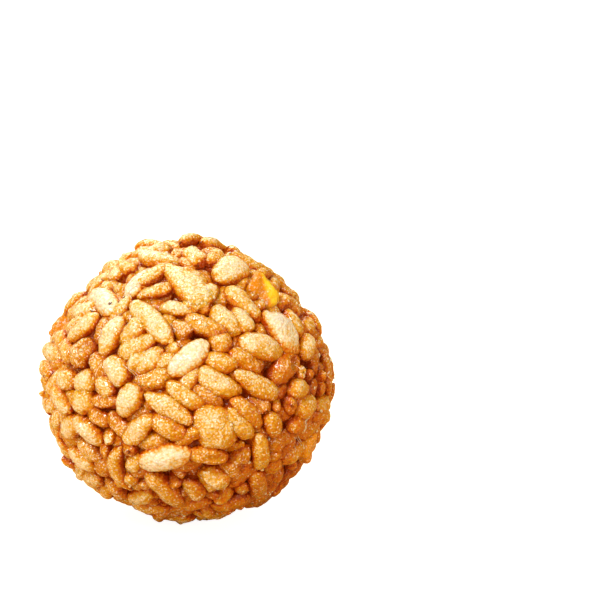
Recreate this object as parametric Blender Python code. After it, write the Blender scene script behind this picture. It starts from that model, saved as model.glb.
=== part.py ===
"""A puffed rice ball: grains of puffed rice set in syrup and pressed into a hand-sized ball.

The ball is one solid. A plain core carries the outer layer of grains at true size, with a few
chips of candied peel among them, and a small flat at the bottom where it rested while it set.
Metres, +Z up. The origin is the middle of the flat. The shown face looks to -Y and a little up.
"""

import math

import bmesh
import bpy
import numpy as np
from mathutils import Matrix, Vector

MM = 0.001

# The ball.
BALL_WIDTH = 49.6 * MM
BALL_HEIGHT = 48.2 * MM
FLAT_DEPTH = 0.75 * MM  # what the resting flat takes off the height
CORE_DEPTH = 1.75 * MM  # from the crowns of the grains down to the syrup-bound core
UNEVENNESS = 0.012
SHOULDER_DROP = 0.045  # how much lower than an ellipsoid its upper half is at 45 degrees
SHOWN_FACE_TILT = math.radians(20.0)

# A puffed grain.
GRAIN_LENGTH = 7.3 * MM
GRAIN_WIDTH = 3.0 * MM
THICKNESS_SHARE = 0.86
THICKEST = 3.3 * MM
GRAIN_SIDES = 6
GRAIN_RINGS = 4
BLUNTNESS = 0.2  # how much fuller than an ellipsoid a grain is towards its tips

# The outer layer.
SEED = 8
THROWS = 9000
LARGEST = 1.2
SMALLEST = 0.72
CROWDING = 0.74  # a thrown grain may lie this share of full spacing from its neighbours
DEEPEST_SINK = 1.3 * MM  # how far a crowded grain is pushed into the ball
STANDING_SHARE = 0.13
SETTLE_ROUNDS = 60
BEAD_SPOTS = np.array([-0.33, 0.0, 0.33])  # three beads along a grain stand for its shape
BEAD_GIRTHS = np.array([0.39, 0.49, 0.39])

# The resting flat.
FOOT_RING_RADIUS = 5.0 * MM
FOOT_RING_COUNT = 6
FOOT_RING_SKEW = 0.25  # how much the ring's grains point outwards, against along the ring
FOOT_CUT = 0.45 * MM  # how far the foot grains reach below the flat before they are cut

# Chips of candied peel.
PEEL_SIZE = Vector((4.8, 4.4, 2.8)) * MM
PEEL_LEAN = math.radians(14.0)
SHOWN_PEEL = (12.8, 14.2, -40.0)  # across, up and turn on the shown face
OTHER_PEEL = ((62.0, -22.0), (128.0, 30.0), (196.0, -8.0), (262.0, 24.0))  # azimuth, elevation

MOST_TRIANGLES = 11600  # after the union, whose faces are thinned out to this many

SYRUP_AND_RICE = (0.72, 0.36, 0.10, 1.0)

# The grains that mark the shown face, in millimetres and degrees from its middle:
# across, up, turn of the long axis, length, width, lift of the crown.
SHOWN_GRAINS = (
    # Crown of the face.
    (-5.7, 21.5, 10, 7.5, 4.2, 0.1), (1.6, 20.1, -62, 5.8, 3.3, 0.1),
    (4.9, 19.8, 48, 5.6, 3.0, 0.1), (10.9, 19.3, -32, 7.6, 3.4, 0.1),
    (13.6, 17.7, 18, 6.8, 2.8, 0.1), (16.3, 15.8, -48, 6.8, 3.0, 0.0),
    (7.2, 17.4, 40, 8.0, 4.9, 0.6), (0.3, 15.4, -51, 11.6, 5.0, 0.4),
    (-5.1, 17.3, 33, 7.2, 2.7, 0.1), (-8.3, 16.0, 45, 7.6, 3.2, 0.3),
    (-9.6, 18.8, -50, 4.4, 2.8, 0.1), (-11.6, 18.2, -75, 5.5, 3.2, 0.0),
    (-14.6, 16.8, 25, 6.5, 3.0, -0.1),
    # Upper left.
    (-14.2, 13.2, -45, 7.8, 5.0, 0.4), (-11.5, 12.1, 50, 4.6, 2.4, 0.1),
    (-18.4, 12.2, 38, 7.4, 3.4, -0.2), (-16.8, 11.4, 18, 6.0, 3.4, 0.3),
    (-18.0, 9.1, 35, 5.0, 2.6, 0.0), (-16.6, 8.4, 37, 7.4, 2.9, 0.4),
    (-20.2, 6.3, -75, 5.0, 2.8, 0.1), (-16.6, 4.5, 42, 5.8, 3.8, 0.2),
    (-19.2, 4.6, -65, 5.5, 2.8, -0.1), (-12.0, 7.0, 63, 7.4, 3.1, 0.4),
    (-13.8, 8.3, 62, 6.0, 2.6, -0.6), (-10.6, 11.6, 50, 5.4, 2.3, 0.1),
    (-8.4, 8.1, 42, 6.8, 3.6, 0.1), (-5.0, 14.3, 18, 6.4, 3.5, -0.1),
    (-5.5, 9.2, -47, 10.6, 3.4, 0.7), (-8.0, 5.2, 28, 7.2, 3.0, -0.1),
    (-6.6, 3.0, 32, 6.8, 3.4, 0.0), (-4.1, 0.6, 15, 8.2, 4.4, 0.0),
    (-1.5, 11.5, -8, 6.0, 2.5, -0.1), (-0.7, 8.1, -50, 3.8, 2.9, -0.1),
    # Upper right.
    (1.8, 12.4, -30, 5.2, 3.8, 0.1), (4.0, 13.7, 62, 4.4, 2.3, 0.2),
    (9.6, 11.9, -42, 8.0, 3.3, 0.3), (6.4, 9.3, -45, 6.6, 3.6, 0.1),
    (9.3, 9.2, -55, 5.2, 2.9, 0.2), (3.2, 8.4, -22, 7.2, 3.0, 0.1),
    (5.7, 5.3, -70, 3.8, 3.3, 0.0), (0.4, 3.9, 39, 8.9, 3.7, 0.8),
    (5.3, 2.4, -12, 6.2, 3.0, 0.2), (9.3, 2.4, -38, 6.4, 2.8, 0.0),
    (12.1, 4.6, -18, 8.8, 3.9, 0.5), (15.5, 6.9, -58, 9.2, 4.8, 0.5),
    (17.3, 11.9, -30, 6.6, 4.2, 0.1), (17.8, 8.5, -68, 5.2, 2.8, 0.1),
    (20.4, 8.2, 65, 5.0, 2.8, 0.0), (19.3, 4.5, 70, 5.8, 3.2, 0.2),
    (15.5, 1.0, 45, 7.5, 3.8, 0.0),
    # Lower right.
    (5.0, -0.9, -28, 8.2, 3.5, 0.3), (10.8, -1.3, -30, 8.9, 3.1, 0.3),
    (2.9, -2.8, -34, 6.2, 2.6, -0.4), (9.0, -5.5, -47, 7.3, 3.1, 0.3),
    (4.2, -7.6, -45, 8.2, 6.0, 0.5), (7.9, -7.1, -50, 6.8, 3.0, 0.2),
    (0.4, -8.8, 28, 5.8, 2.6, 0.0), (3.1, -11.9, -12, 6.6, 3.1, 0.2),
    (11.0, -11.5, -84, 7.2, 2.8, 0.3), (12.9, -7.4, -68, 4.6, 2.6, 0.2),
    (7.5, -13.5, 42, 5.6, 3.6, 0.0), (14.6, -10.1, 28, 6.6, 3.8, 0.1),
    (16.9, -7.8, -5, 4.6, 3.0, 0.3), (18.5, -5.0, 30, 5.8, 3.4, 0.3),
    (17.4, -2.1, 0, 4.8, 3.0, 0.2), (21.5, -4.8, 15, 6.8, 3.2, 0.1),
    (16.4, -12.3, 35, 5.8, 3.0, 0.1), (13.2, -14.1, 20, 4.0, 2.8, 0.0),
    (3.9, -15.9, -35, 6.0, 4.2, 0.2), (0.6, -17.2, -48, 5.2, 2.9, 0.1),
    (10.8, -17.3, -74, 9.0, 3.0, 0.2), (6.7, -20.1, 12, 7.2, 3.4, 0.1),
    (0.8, -20.1, 10, 6.4, 2.8, 0.0),
    # Lower left.
    (0.2, -0.3, 63, 5.5, 2.6, -0.1), (-0.3, -2.7, -34, 7.4, 2.7, 0.1),
    (-2.9, -4.4, -32, 8.9, 2.9, 0.3), (-3.0, -7.3, -32, 6.4, 3.1, 0.1),
    (-7.4, -7.5, 38, 6.8, 3.2, 0.1), (-9.0, -3.3, 58, 5.8, 3.9, 0.6),
    (-11.0, 1.4, -60, 5.4, 3.4, 0.3), (-12.5, -1.2, -60, 4.0, 2.8, 0.1),
    (-15.9, -0.1, 15, 4.6, 3.6, 0.2), (-18.9, 0.1, 10, 5.0, 3.0, 0.0),
    (-13.9, 2.0, -60, 6.0, 3.4, -0.5), (-16.0, -3.0, -75, 5.0, 4.3, 0.3),
    (-19.7, -3.1, -55, 6.3, 3.1, 0.2), (-18.5, -7.3, 40, 6.2, 3.4, 0.1),
    (-15.3, -7.7, -45, 6.6, 3.1, 0.3), (-13.6, -5.8, -25, 4.8, 2.8, -0.4),
    (-10.6, -7.0, -45, 5.2, 2.7, -0.6), (-10.6, -13.5, -80, 9.4, 2.7, 0.3),
    (-8.2, -12.6, 55, 4.2, 2.3, 0.0), (-3.8, -12.0, 14, 9.2, 4.1, 0.6),
    (-9.2, -15.5, 20, 3.4, 2.6, 0.0), (-3.8, -17.3, -48, 9.6, 3.5, 0.4),
    (-7.8, -18.8, 15, 5.8, 2.8, 0.1), (-6.8, -20.8, -12, 7.8, 3.0, 0.0),
    (-17.0, -12.6, -38, 6.2, 3.3, 0.2), (-15.0, -11.3, -50, 5.6, 2.8, -0.2),
    (-13.4, -13.6, 60, 5.6, 3.2, -0.3), (-15.5, -16.0, 22, 7.0, 3.4, 0.1),
    (-11.9, -17.5, -50, 5.6, 3.0, -0.1),
)

MIDDLE = np.array([0.0, 0.0, BALL_HEIGHT / 2 - FLAT_DEPTH])
FACE_RIGHT = np.array([1.0, 0.0, 0.0])
FACE_UP = np.array([0.0, math.sin(SHOWN_FACE_TILT), math.cos(SHOWN_FACE_TILT)])
FACE_OUT = np.array([0.0, -math.cos(SHOWN_FACE_TILT), math.sin(SHOWN_FACE_TILT)])


def unit(vectors):
    """The vectors at length 1, along the last axis."""
    return vectors / np.sqrt((vectors * vectors).sum(axis=-1, keepdims=True))


def along(vectors, others):
    """Dot products along the last axis, which is kept."""
    return (vectors * others).sum(axis=-1, keepdims=True)


def crown_radius(outward):
    """From the middle out to the crowns of the grains: an ellipsoid that palms pressed uneven."""
    x, y, z = outward[..., 0], outward[..., 1], outward[..., 2]
    flattening = (x * x + y * y) / (BALL_WIDTH / 2) ** 2 + z * z / (BALL_HEIGHT / 2) ** 2
    swell = UNEVENNESS * np.sin(3.1 * x + 2.0 * z + 0.4) * np.cos(2.7 * y - 1.9 * z)
    shoulder = SHOULDER_DROP * 4.0 * (x * x + y * y) * np.maximum(z, 0.0) ** 2
    return (1.0 + swell - shoulder) / np.sqrt(flattening)


def thickness_of(widths):
    """Grains are a little flatter than wide, and a burst one is wide without being thick."""
    return np.minimum(widths * THICKNESS_SHARE, THICKEST)


def face_direction(across, up):
    """Outward directions of places on the shown face, given across and up in metres."""
    reach = BALL_WIDTH / 2 - THICKEST / 2
    out = np.sqrt(np.maximum(reach**2 - across**2 - up**2, (0.1 * reach) ** 2))
    return unit(across[:, None] * FACE_RIGHT + up[:, None] * FACE_UP + out[:, None] * FACE_OUT)


def laid_on_face(outward, turn):
    """Long axes that lie on the ball and look turned by this angle to who faces the shown face."""
    seen = np.cos(turn)[:, None] * FACE_RIGHT + np.sin(turn)[:, None] * FACE_UP
    return unit(seen - along(seen, outward) / along(FACE_OUT, outward) * FACE_OUT)


def laid_at_random(outward, rng):
    """Long axes that lie on the ball, turned at random, with some that stand on end."""
    count = len(outward)
    axes = unit(np.cross(outward, rng.normal(size=(count, 3))))
    lean = rng.normal(0.0, math.radians(10.0), count)
    standing = rng.random(count) < STANDING_SHARE
    lean = np.where(standing, rng.uniform(math.radians(50), math.radians(85), count), lean)
    return unit(axes * np.cos(lean)[:, None] + outward * np.sin(lean)[:, None])


class Layer:
    """Grains of the outer layer: middles, long axes, lengths, widths and lifts of the crowns."""

    MEASURES = ("axes", "lengths", "widths", "lifts")

    def __init__(self, outward, axes, lengths, widths, lifts):
        self.outward = outward
        self.axes, self.lengths, self.widths, self.lifts = axes, lengths, widths, lifts
        self.centres = MIDDLE + outward * self.resting_radius(outward)[:, None]

    def resting_radius(self, outward):
        """How far out the middle of each grain rests, with its highest point at the crowns."""
        rise = along(self.axes, outward)[:, 0]
        lying = thickness_of(self.widths) / 2 * np.sqrt(1.0 - rise * rise)
        standing = self.lengths / 2 * rise
        return crown_radius(outward) + self.lifts - np.sqrt(lying**2 + standing**2)

    def beads(self):
        """Middles of the three beads along each grain."""
        spots = (self.lengths[:, None] * BEAD_SPOTS)[..., None]
        return self.centres[:, None] + self.axes[:, None] * spots

    def bead_radii(self):
        """Radius of each bead."""
        return self.widths[:, None] * BEAD_GIRTHS

    def settle(self, first_loose):
        """Push grains that crowd each other apart. Those before first_loose stay put."""
        radii = self.bead_radii().reshape(-1)
        touching = radii[:, None] + radii[None]
        owner = np.repeat(np.arange(len(self.widths)), len(BEAD_SPOTS))
        touching[owner[:, None] == owner[None]] = 0.0
        for _ in range(SETTLE_ROUNDS):
            beads = self.beads()
            flat = beads.reshape(-1, 3)
            apart = flat[:, None] - flat[None]
            distance = np.sqrt((apart * apart).sum(axis=2)) + 1e-9
            crowding = np.maximum(touching - distance, 0.0) / distance
            push = 0.3 * (apart * crowding[..., None]).sum(axis=1).reshape(beads.shape)
            shift = push.mean(axis=1)
            arm = beads - self.centres[:, None]
            spin = np.cross(arm, push).sum(axis=1) / (0.2 * self.lengths**2)[:, None]
            moved = self.centres + shift
            outward = unit(moved - MIDDLE)
            radius = np.sqrt(((moved - MIDDLE) ** 2).sum(axis=1))
            rest = self.resting_radius(outward)
            radius = np.clip(radius + 0.15 * (rest - radius), rest - DEEPEST_SINK, rest)
            moved = MIDDLE + outward * radius[:, None]
            self.centres[first_loose:] = moved[first_loose:]
            turned = unit(self.axes + np.cross(spin, self.axes))
            self.axes[first_loose:] = turned[first_loose:]


def placed_grains():
    """The grains of the shown face, from the table."""
    across, up, turn, length, width, lift = np.array(SHOWN_GRAINS).T
    outward = face_direction(across * MM, up * MM)
    axes = laid_on_face(outward, np.radians(turn))
    return outward, axes, length * MM, width * MM, lift * MM


def foot_grains():
    """One grain at the bottom pole and a ring round it, so that the ball has a flat to rest on."""
    angle = 2 * math.pi * (np.arange(FOOT_RING_COUNT) + 0.2) / FOOT_RING_COUNT
    ring = np.stack([np.cos(angle), np.sin(angle), np.zeros(FOOT_RING_COUNT)], axis=1)
    places = np.concatenate([[[0.0, 0.0, 0.0]], ring * FOOT_RING_RADIUS])
    tangents = np.stack([-np.sin(angle), np.cos(angle), np.zeros(FOOT_RING_COUNT)], axis=1)
    axes = unit(np.concatenate([[[1.0, 0.0, 0.0]], tangents + ring * FOOT_RING_SKEW]))
    widths = np.full(len(places), GRAIN_WIDTH * 1.1)
    places[:, 2] = thickness_of(widths) / 2 - FOOT_CUT
    reach = places - MIDDLE
    outward = unit(reach)
    lifts = np.sqrt((reach * reach).sum(axis=1)) + thickness_of(widths) / 2 - crown_radius(outward)
    return outward, axes, np.full(len(places), GRAIN_LENGTH * 0.8), widths, lifts


def peel_places():
    """Outward direction and long axis of each chip of peel."""
    across, up, turn = SHOWN_PEEL
    outward = face_direction(np.array([across * MM]), np.array([up * MM]))
    axes = laid_on_face(outward, np.radians([turn]))
    azimuth, elevation = np.radians(OTHER_PEEL).T
    level = np.stack([np.sin(azimuth), -np.cos(azimuth), np.zeros(len(azimuth))], axis=1)
    others = level * np.cos(elevation)[:, None] + [0.0, 0.0, 1.0] * np.sin(elevation)[:, None]
    other_axes = unit(np.cross(others, np.roll(others, 1, axis=1)))
    return np.concatenate([outward, others]), np.concatenate([axes, other_axes])


def peel_stand_ins():
    """Chips of peel as short wide grains, which keep the loose grains off them."""
    outward, axes = peel_places()
    full = np.ones(len(outward))
    return outward, axes, full * PEEL_SIZE.x, full * PEEL_SIZE.y, full * 0.0


def thrown_grains(rng):
    """Candidates for the loose grains, the largest first, thrown at the ball at random."""
    outward = unit(rng.normal(size=(THROWS, 3)))
    axes = laid_at_random(outward, rng)
    size = np.linspace(LARGEST, SMALLEST, THROWS) * rng.normal(1.0, 0.05, THROWS)
    slimness = rng.normal(1.0, 0.09, THROWS).clip(0.8, 1.25)
    lifts = rng.normal(-0.2 * MM, 0.3 * MM, THROWS).clip(-0.9 * MM, 0.4 * MM)
    return outward, axes, GRAIN_LENGTH * size * slimness, GRAIN_WIDTH * size / slimness, lifts


def loose_grains(placed, rng):
    """The thrown grains that find a free place among the placed ones and each other."""
    thrown = Layer(*thrown_grains(rng))
    beads, radii = thrown.beads(), thrown.bead_radii()
    taken = np.concatenate([placed.beads().reshape(-1, 3), np.zeros((THROWS, 3))])
    taken_radii = np.concatenate([placed.bead_radii().reshape(-1), np.zeros(THROWS)])
    filled, kept = placed.beads().size // 3, []
    for number in range(THROWS):
        if filled + len(BEAD_SPOTS) > len(taken):
            break
        apart = beads[number][:, None] - taken[None, :filled]
        reach = radii[number][:, None] + taken_radii[None, :filled]
        if (np.sqrt((apart * apart).sum(axis=2)) > CROWDING * reach).all():
            taken[filled:filled + len(BEAD_SPOTS)] = beads[number]
            taken_radii[filled:filled + len(BEAD_SPOTS)] = radii[number]
            filled += len(BEAD_SPOTS)
            kept.append(number)
    return thrown.outward[kept], *(getattr(thrown, name)[kept] for name in Layer.MEASURES)


def outer_layer():
    """Every grain of the outer layer, settled, without the stand-ins for the peel."""
    rng = np.random.default_rng(SEED)
    stand_ins, shown, foot = peel_stand_ins(), placed_grains(), foot_grains()
    fixed = [np.concatenate(parts) for parts in zip(stand_ins, shown, foot)]
    placed = Layer(*fixed)
    loose = loose_grains(placed, rng)
    layer = Layer(*[np.concatenate(parts) for parts in zip(fixed, loose)])
    layer.settle(first_loose=len(fixed[0]))
    chips = len(stand_ins[0])
    for name in ("centres", "axes", "lengths", "widths", "lifts"):
        setattr(layer, name, getattr(layer, name)[chips:])
    return layer


def frame_of(axis, outward):
    """Rotation that lays X along the axis and Z as far outward as that allows."""
    x = Vector(axis)
    y = Vector(outward).cross(x).normalized()
    return Matrix((x, y, x.cross(y))).transposed().to_4x4()


def clear_scene():
    """Remove the objects that the scene starts with."""
    for obj in list(bpy.data.objects):
        bpy.data.objects.remove(obj)


def new_collection(name):
    """A collection linked to the scene."""
    collection = bpy.data.collections.new(name)
    bpy.context.scene.collection.children.link(collection)
    return collection


def new_mesh(name, material, build):
    """A mesh that build makes with bmesh."""
    mesh = bpy.data.meshes.new(name)
    shape = bmesh.new()
    build(shape)
    shape.to_mesh(mesh)
    shape.free()
    mesh.materials.append(material)
    return mesh


def place(name, mesh, collection, matrix=None):
    """An object with this mesh, in the collection."""
    obj = bpy.data.objects.new(name, mesh)
    obj.matrix_world = matrix or Matrix.Identity(4)
    collection.objects.link(obj)
    return obj


def rice_material():
    """Syrup-coated puffed rice."""
    material = bpy.data.materials.new("syrup_coated_rice")
    material.use_nodes = True
    shader = material.node_tree.nodes["Principled BSDF"]
    shader.inputs["Base Color"].default_value = SYRUP_AND_RICE
    shader.inputs["Roughness"].default_value = 0.4
    shader.inputs["Metallic"].default_value = 0.0
    return material


def core_shape(shape):
    """The syrup-bound inside, which follows the crowns a little below them."""
    bmesh.ops.create_icosphere(shape, subdivisions=3, radius=1.0)
    for vertex in shape.verts:
        outward = np.array(vertex.co.normalized())
        vertex.co = MIDDLE + outward * (crown_radius(outward) - CORE_DEPTH)


def grain_shape(shape):
    """A grain of size 1 with its tips on X, blunter than an ellipsoid."""
    tips_on_x = Matrix.Rotation(math.pi / 2, 4, "Y")
    bmesh.ops.create_uvsphere(
        shape, u_segments=GRAIN_SIDES, v_segments=GRAIN_RINGS, radius=0.5, matrix=tips_on_x
    )
    for vertex in shape.verts:
        along_axis = abs(vertex.co.x) * 2
        vertex.co.x *= 1.0 + BLUNTNESS * (1.0 - along_axis**2)
        vertex.co.y *= 1.0 + BLUNTNESS * along_axis
        vertex.co.z *= 1.0 + BLUNTNESS * along_axis


def peel_shape(shape):
    """A chip of candied peel, cut a little askew."""
    bmesh.ops.create_cube(shape, size=1.0)
    for vertex in shape.verts:
        vertex.co.x *= PEEL_SIZE.x * (1.0 + 0.25 * vertex.co.y)
        vertex.co.y *= PEEL_SIZE.y
        vertex.co.z *= PEEL_SIZE.z


def add_grains(collection, material):
    """One object for each grain of the outer layer."""
    mesh = new_mesh("grain", material, grain_shape)
    layer = outer_layer()
    sizes = np.stack([layer.lengths, layer.widths, thickness_of(layer.widths)], axis=1)
    for number, (centre, axis, size) in enumerate(zip(layer.centres, layer.axes, sizes)):
        spot = Matrix.Translation(centre) @ frame_of(axis, unit(centre - MIDDLE))
        place(f"grain_{number:03d}", mesh, collection, spot @ Matrix.Diagonal((*size, 1.0)))
    return len(sizes)


def add_peel(collection, material):
    """The chips of peel, each with one edge lifted out of the ball."""
    mesh = new_mesh("peel", material, peel_shape)
    for number, (outward, axis) in enumerate(zip(*peel_places())):
        depth = float(crown_radius(outward)) - PEEL_SIZE.z * 0.6
        spot = Matrix.Translation(MIDDLE + outward * depth) @ frame_of(axis, outward)
        lean = Matrix.Rotation(PEEL_LEAN, 4, "Y")
        place(f"peel_{number}", mesh, collection, spot @ lean)


def add_flat_cutter(collection, material):
    """A block whose top is the resting flat."""
    size = BALL_WIDTH
    mesh = new_mesh("flat_cutter", material, lambda s: bmesh.ops.create_cube(s, size=size))
    cutter = place("flat_cutter", mesh, collection, Matrix.Translation((0, 0, -size / 2)))
    cutter.hide_render = True
    cutter.display_type = "WIRE"
    return cutter


def apply_modifier(obj, kind, **settings):
    """Run one modifier on the object, and keep the result as its mesh."""
    modifier = obj.modifiers.new(kind.lower(), kind)
    for name, value in settings.items():
        setattr(modifier, name, value)
    graph = bpy.context.evaluated_depsgraph_get()
    mesh = bpy.data.meshes.new_from_object(obj.evaluated_get(graph))
    obj.modifiers.clear()
    obj.data = mesh


def keep_largest_body(mesh):
    """Fill the hollows that joining sealed, and drop loose scraps: only the outer skin stays."""
    shape = bmesh.new()
    shape.from_mesh(mesh)
    bmesh.ops.triangulate(shape, faces=shape.faces)
    todo, bodies = set(shape.faces), []
    while todo:
        front = [todo.pop()]
        body = set(front)
        while front:
            edges = {edge for face in front for edge in face.edges}
            front = [face for face in {f for e in edges for f in e.link_faces} if face in todo]
            todo.difference_update(front)
            body.update(front)
        bodies.append(body)
    skin = max(bodies, key=len)
    scraps = [face for face in shape.faces if face not in skin]
    bmesh.ops.delete(shape, geom=scraps, context="FACES")
    shape.to_mesh(mesh)
    shape.free()
    return len(bodies) - 1


def main():
    """Build the ball."""
    clear_scene()
    ball = new_collection("puffed_rice_ball")
    pieces = new_collection("outer_layer")
    cutters = new_collection("cutters")
    material = rice_material()
    body = place("puffed_rice_ball", new_mesh("core", material, core_shape), ball)
    count = add_grains(pieces, material)
    add_peel(pieces, material)
    cutter = add_flat_cutter(cutters, material)
    apply_modifier(
        body, "BOOLEAN", operation="UNION", solver="MANIFOLD",
        operand_type="COLLECTION", collection=pieces,
    )
    for obj in list(pieces.objects):
        bpy.data.objects.remove(obj)
    dropped = keep_largest_body(body.data)
    apply_modifier(body, "DECIMATE", ratio=MOST_TRIANGLES / len(body.data.polygons))
    apply_modifier(body, "BOOLEAN", operation="DIFFERENCE", solver="MANIFOLD", object=cutter)
    dropped += keep_largest_body(body.data)
    print(f"{count} grains, {dropped} hollows and scraps dropped")


main()
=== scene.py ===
"""The looks of a puffed rice ball: syrup-coated puffed grains pressed into a hand-sized ball.

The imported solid's faceted grains stand where the real ones do. Here each of them becomes a puffed
grain with its own lumps, creases and tips, over a second layer of grains and a syrup-bound inside.
Metres, +Z up. The origin is the middle of the resting flat, and the shown face looks to -Y.
"""

from __future__ import annotations

import logging
import math
from collections.abc import Sequence
from dataclasses import dataclass, field
from enum import Enum

import bmesh
import bpy
import numpy as np
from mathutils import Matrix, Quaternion, Vector
from mathutils.bvhtree import BVHTree

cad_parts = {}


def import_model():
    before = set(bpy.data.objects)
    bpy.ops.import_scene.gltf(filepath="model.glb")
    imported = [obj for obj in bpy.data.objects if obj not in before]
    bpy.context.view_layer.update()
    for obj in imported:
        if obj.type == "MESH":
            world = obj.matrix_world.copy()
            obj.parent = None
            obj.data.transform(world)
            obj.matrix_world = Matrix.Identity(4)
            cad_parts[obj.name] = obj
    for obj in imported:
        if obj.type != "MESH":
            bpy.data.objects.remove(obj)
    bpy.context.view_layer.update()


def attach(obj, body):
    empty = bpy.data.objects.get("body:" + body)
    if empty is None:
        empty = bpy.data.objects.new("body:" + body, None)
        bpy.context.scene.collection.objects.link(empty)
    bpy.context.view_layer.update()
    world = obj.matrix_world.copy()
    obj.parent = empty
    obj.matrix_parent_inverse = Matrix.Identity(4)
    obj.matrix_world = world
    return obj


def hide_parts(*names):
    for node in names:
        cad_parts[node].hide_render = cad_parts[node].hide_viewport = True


LOG = logging.getLogger("puffed_rice_ball")

MM = 0.001
BODY = "root"
NODE = "puffed_rice_ball"

BEAD_SPOTS = np.array([-0.33, 0.0, 0.33])  # three beads along a grain stand for its shape
BEAD_GIRTHS = np.array([0.39, 0.49, 0.39])
SHADE_SIDE_TONES = 0.32  # how far tones deepen from the middle to the side away from the key light, as painted shade


class Tone(Enum):
    """How far a grain took up syrup and colour in the pan, from dry and pale to soaked."""

    PALE = "pale"
    CREAM = "cream"
    GOLDEN = "golden"
    AMBER = "amber"


@dataclass(frozen=True)
class GrainForm:
    """How one kind of puffed grain departs from a plain spindle, in shares of its own size."""

    point: float = 0.45  # exponent of the outline towards the tips: higher is more pointed
    taper: float = 0.0  # fuller towards the far tip
    waist: float = 0.0  # pinch across the middle
    bend: float = 0.0  # sideways curve of the long axis
    groove: float = 0.06  # depth of the seam along the grain
    lumps: float = 1.0  # strength of the uneven swelling
    ragged: float = 0.15  # how torn the far tip is
    cup: float = 0.0  # depth of the hollow left where the grain burst open


class Form(Enum):
    """The kinds of grain that a batch of puffed rice holds."""

    PLAIN = GrainForm()
    WHOLE = GrainForm(point=0.52, lumps=0.4, groove=0.02, ragged=0.0)
    SPINDLE = GrainForm(point=0.55, lumps=0.7, groove=0.04, ragged=0.1)
    TEARDROP = GrainForm(point=0.56, taper=0.26, lumps=0.75, groove=0.05, ragged=0.1)
    BLADE = GrainForm(point=0.50, taper=0.10, groove=0.10, lumps=0.8, ragged=0.9)
    BURST = GrainForm(point=0.46, taper=0.12, groove=0.22, lumps=1.7, ragged=0.6)
    SPLIT = GrainForm(point=0.50, groove=0.38, lumps=1.1, ragged=0.4)
    LUMPY = GrainForm(point=0.46, waist=0.16, groove=0.12, lumps=1.9, ragged=0.3)
    CUPPED = GrainForm(point=0.44, groove=0.05, lumps=1.2, cup=0.24, ragged=0.3)
    CRESCENT = GrainForm(point=0.50, bend=0.42, groove=0.05, lumps=0.8)


PALE, CREAM, GOLDEN, AMBER = Tone
PLAIN, WHOLE, SPINDLE, TEARDROP, BLADE, BURST, SPLIT, LUMPY, CUPPED, CRESCENT = Form

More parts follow.
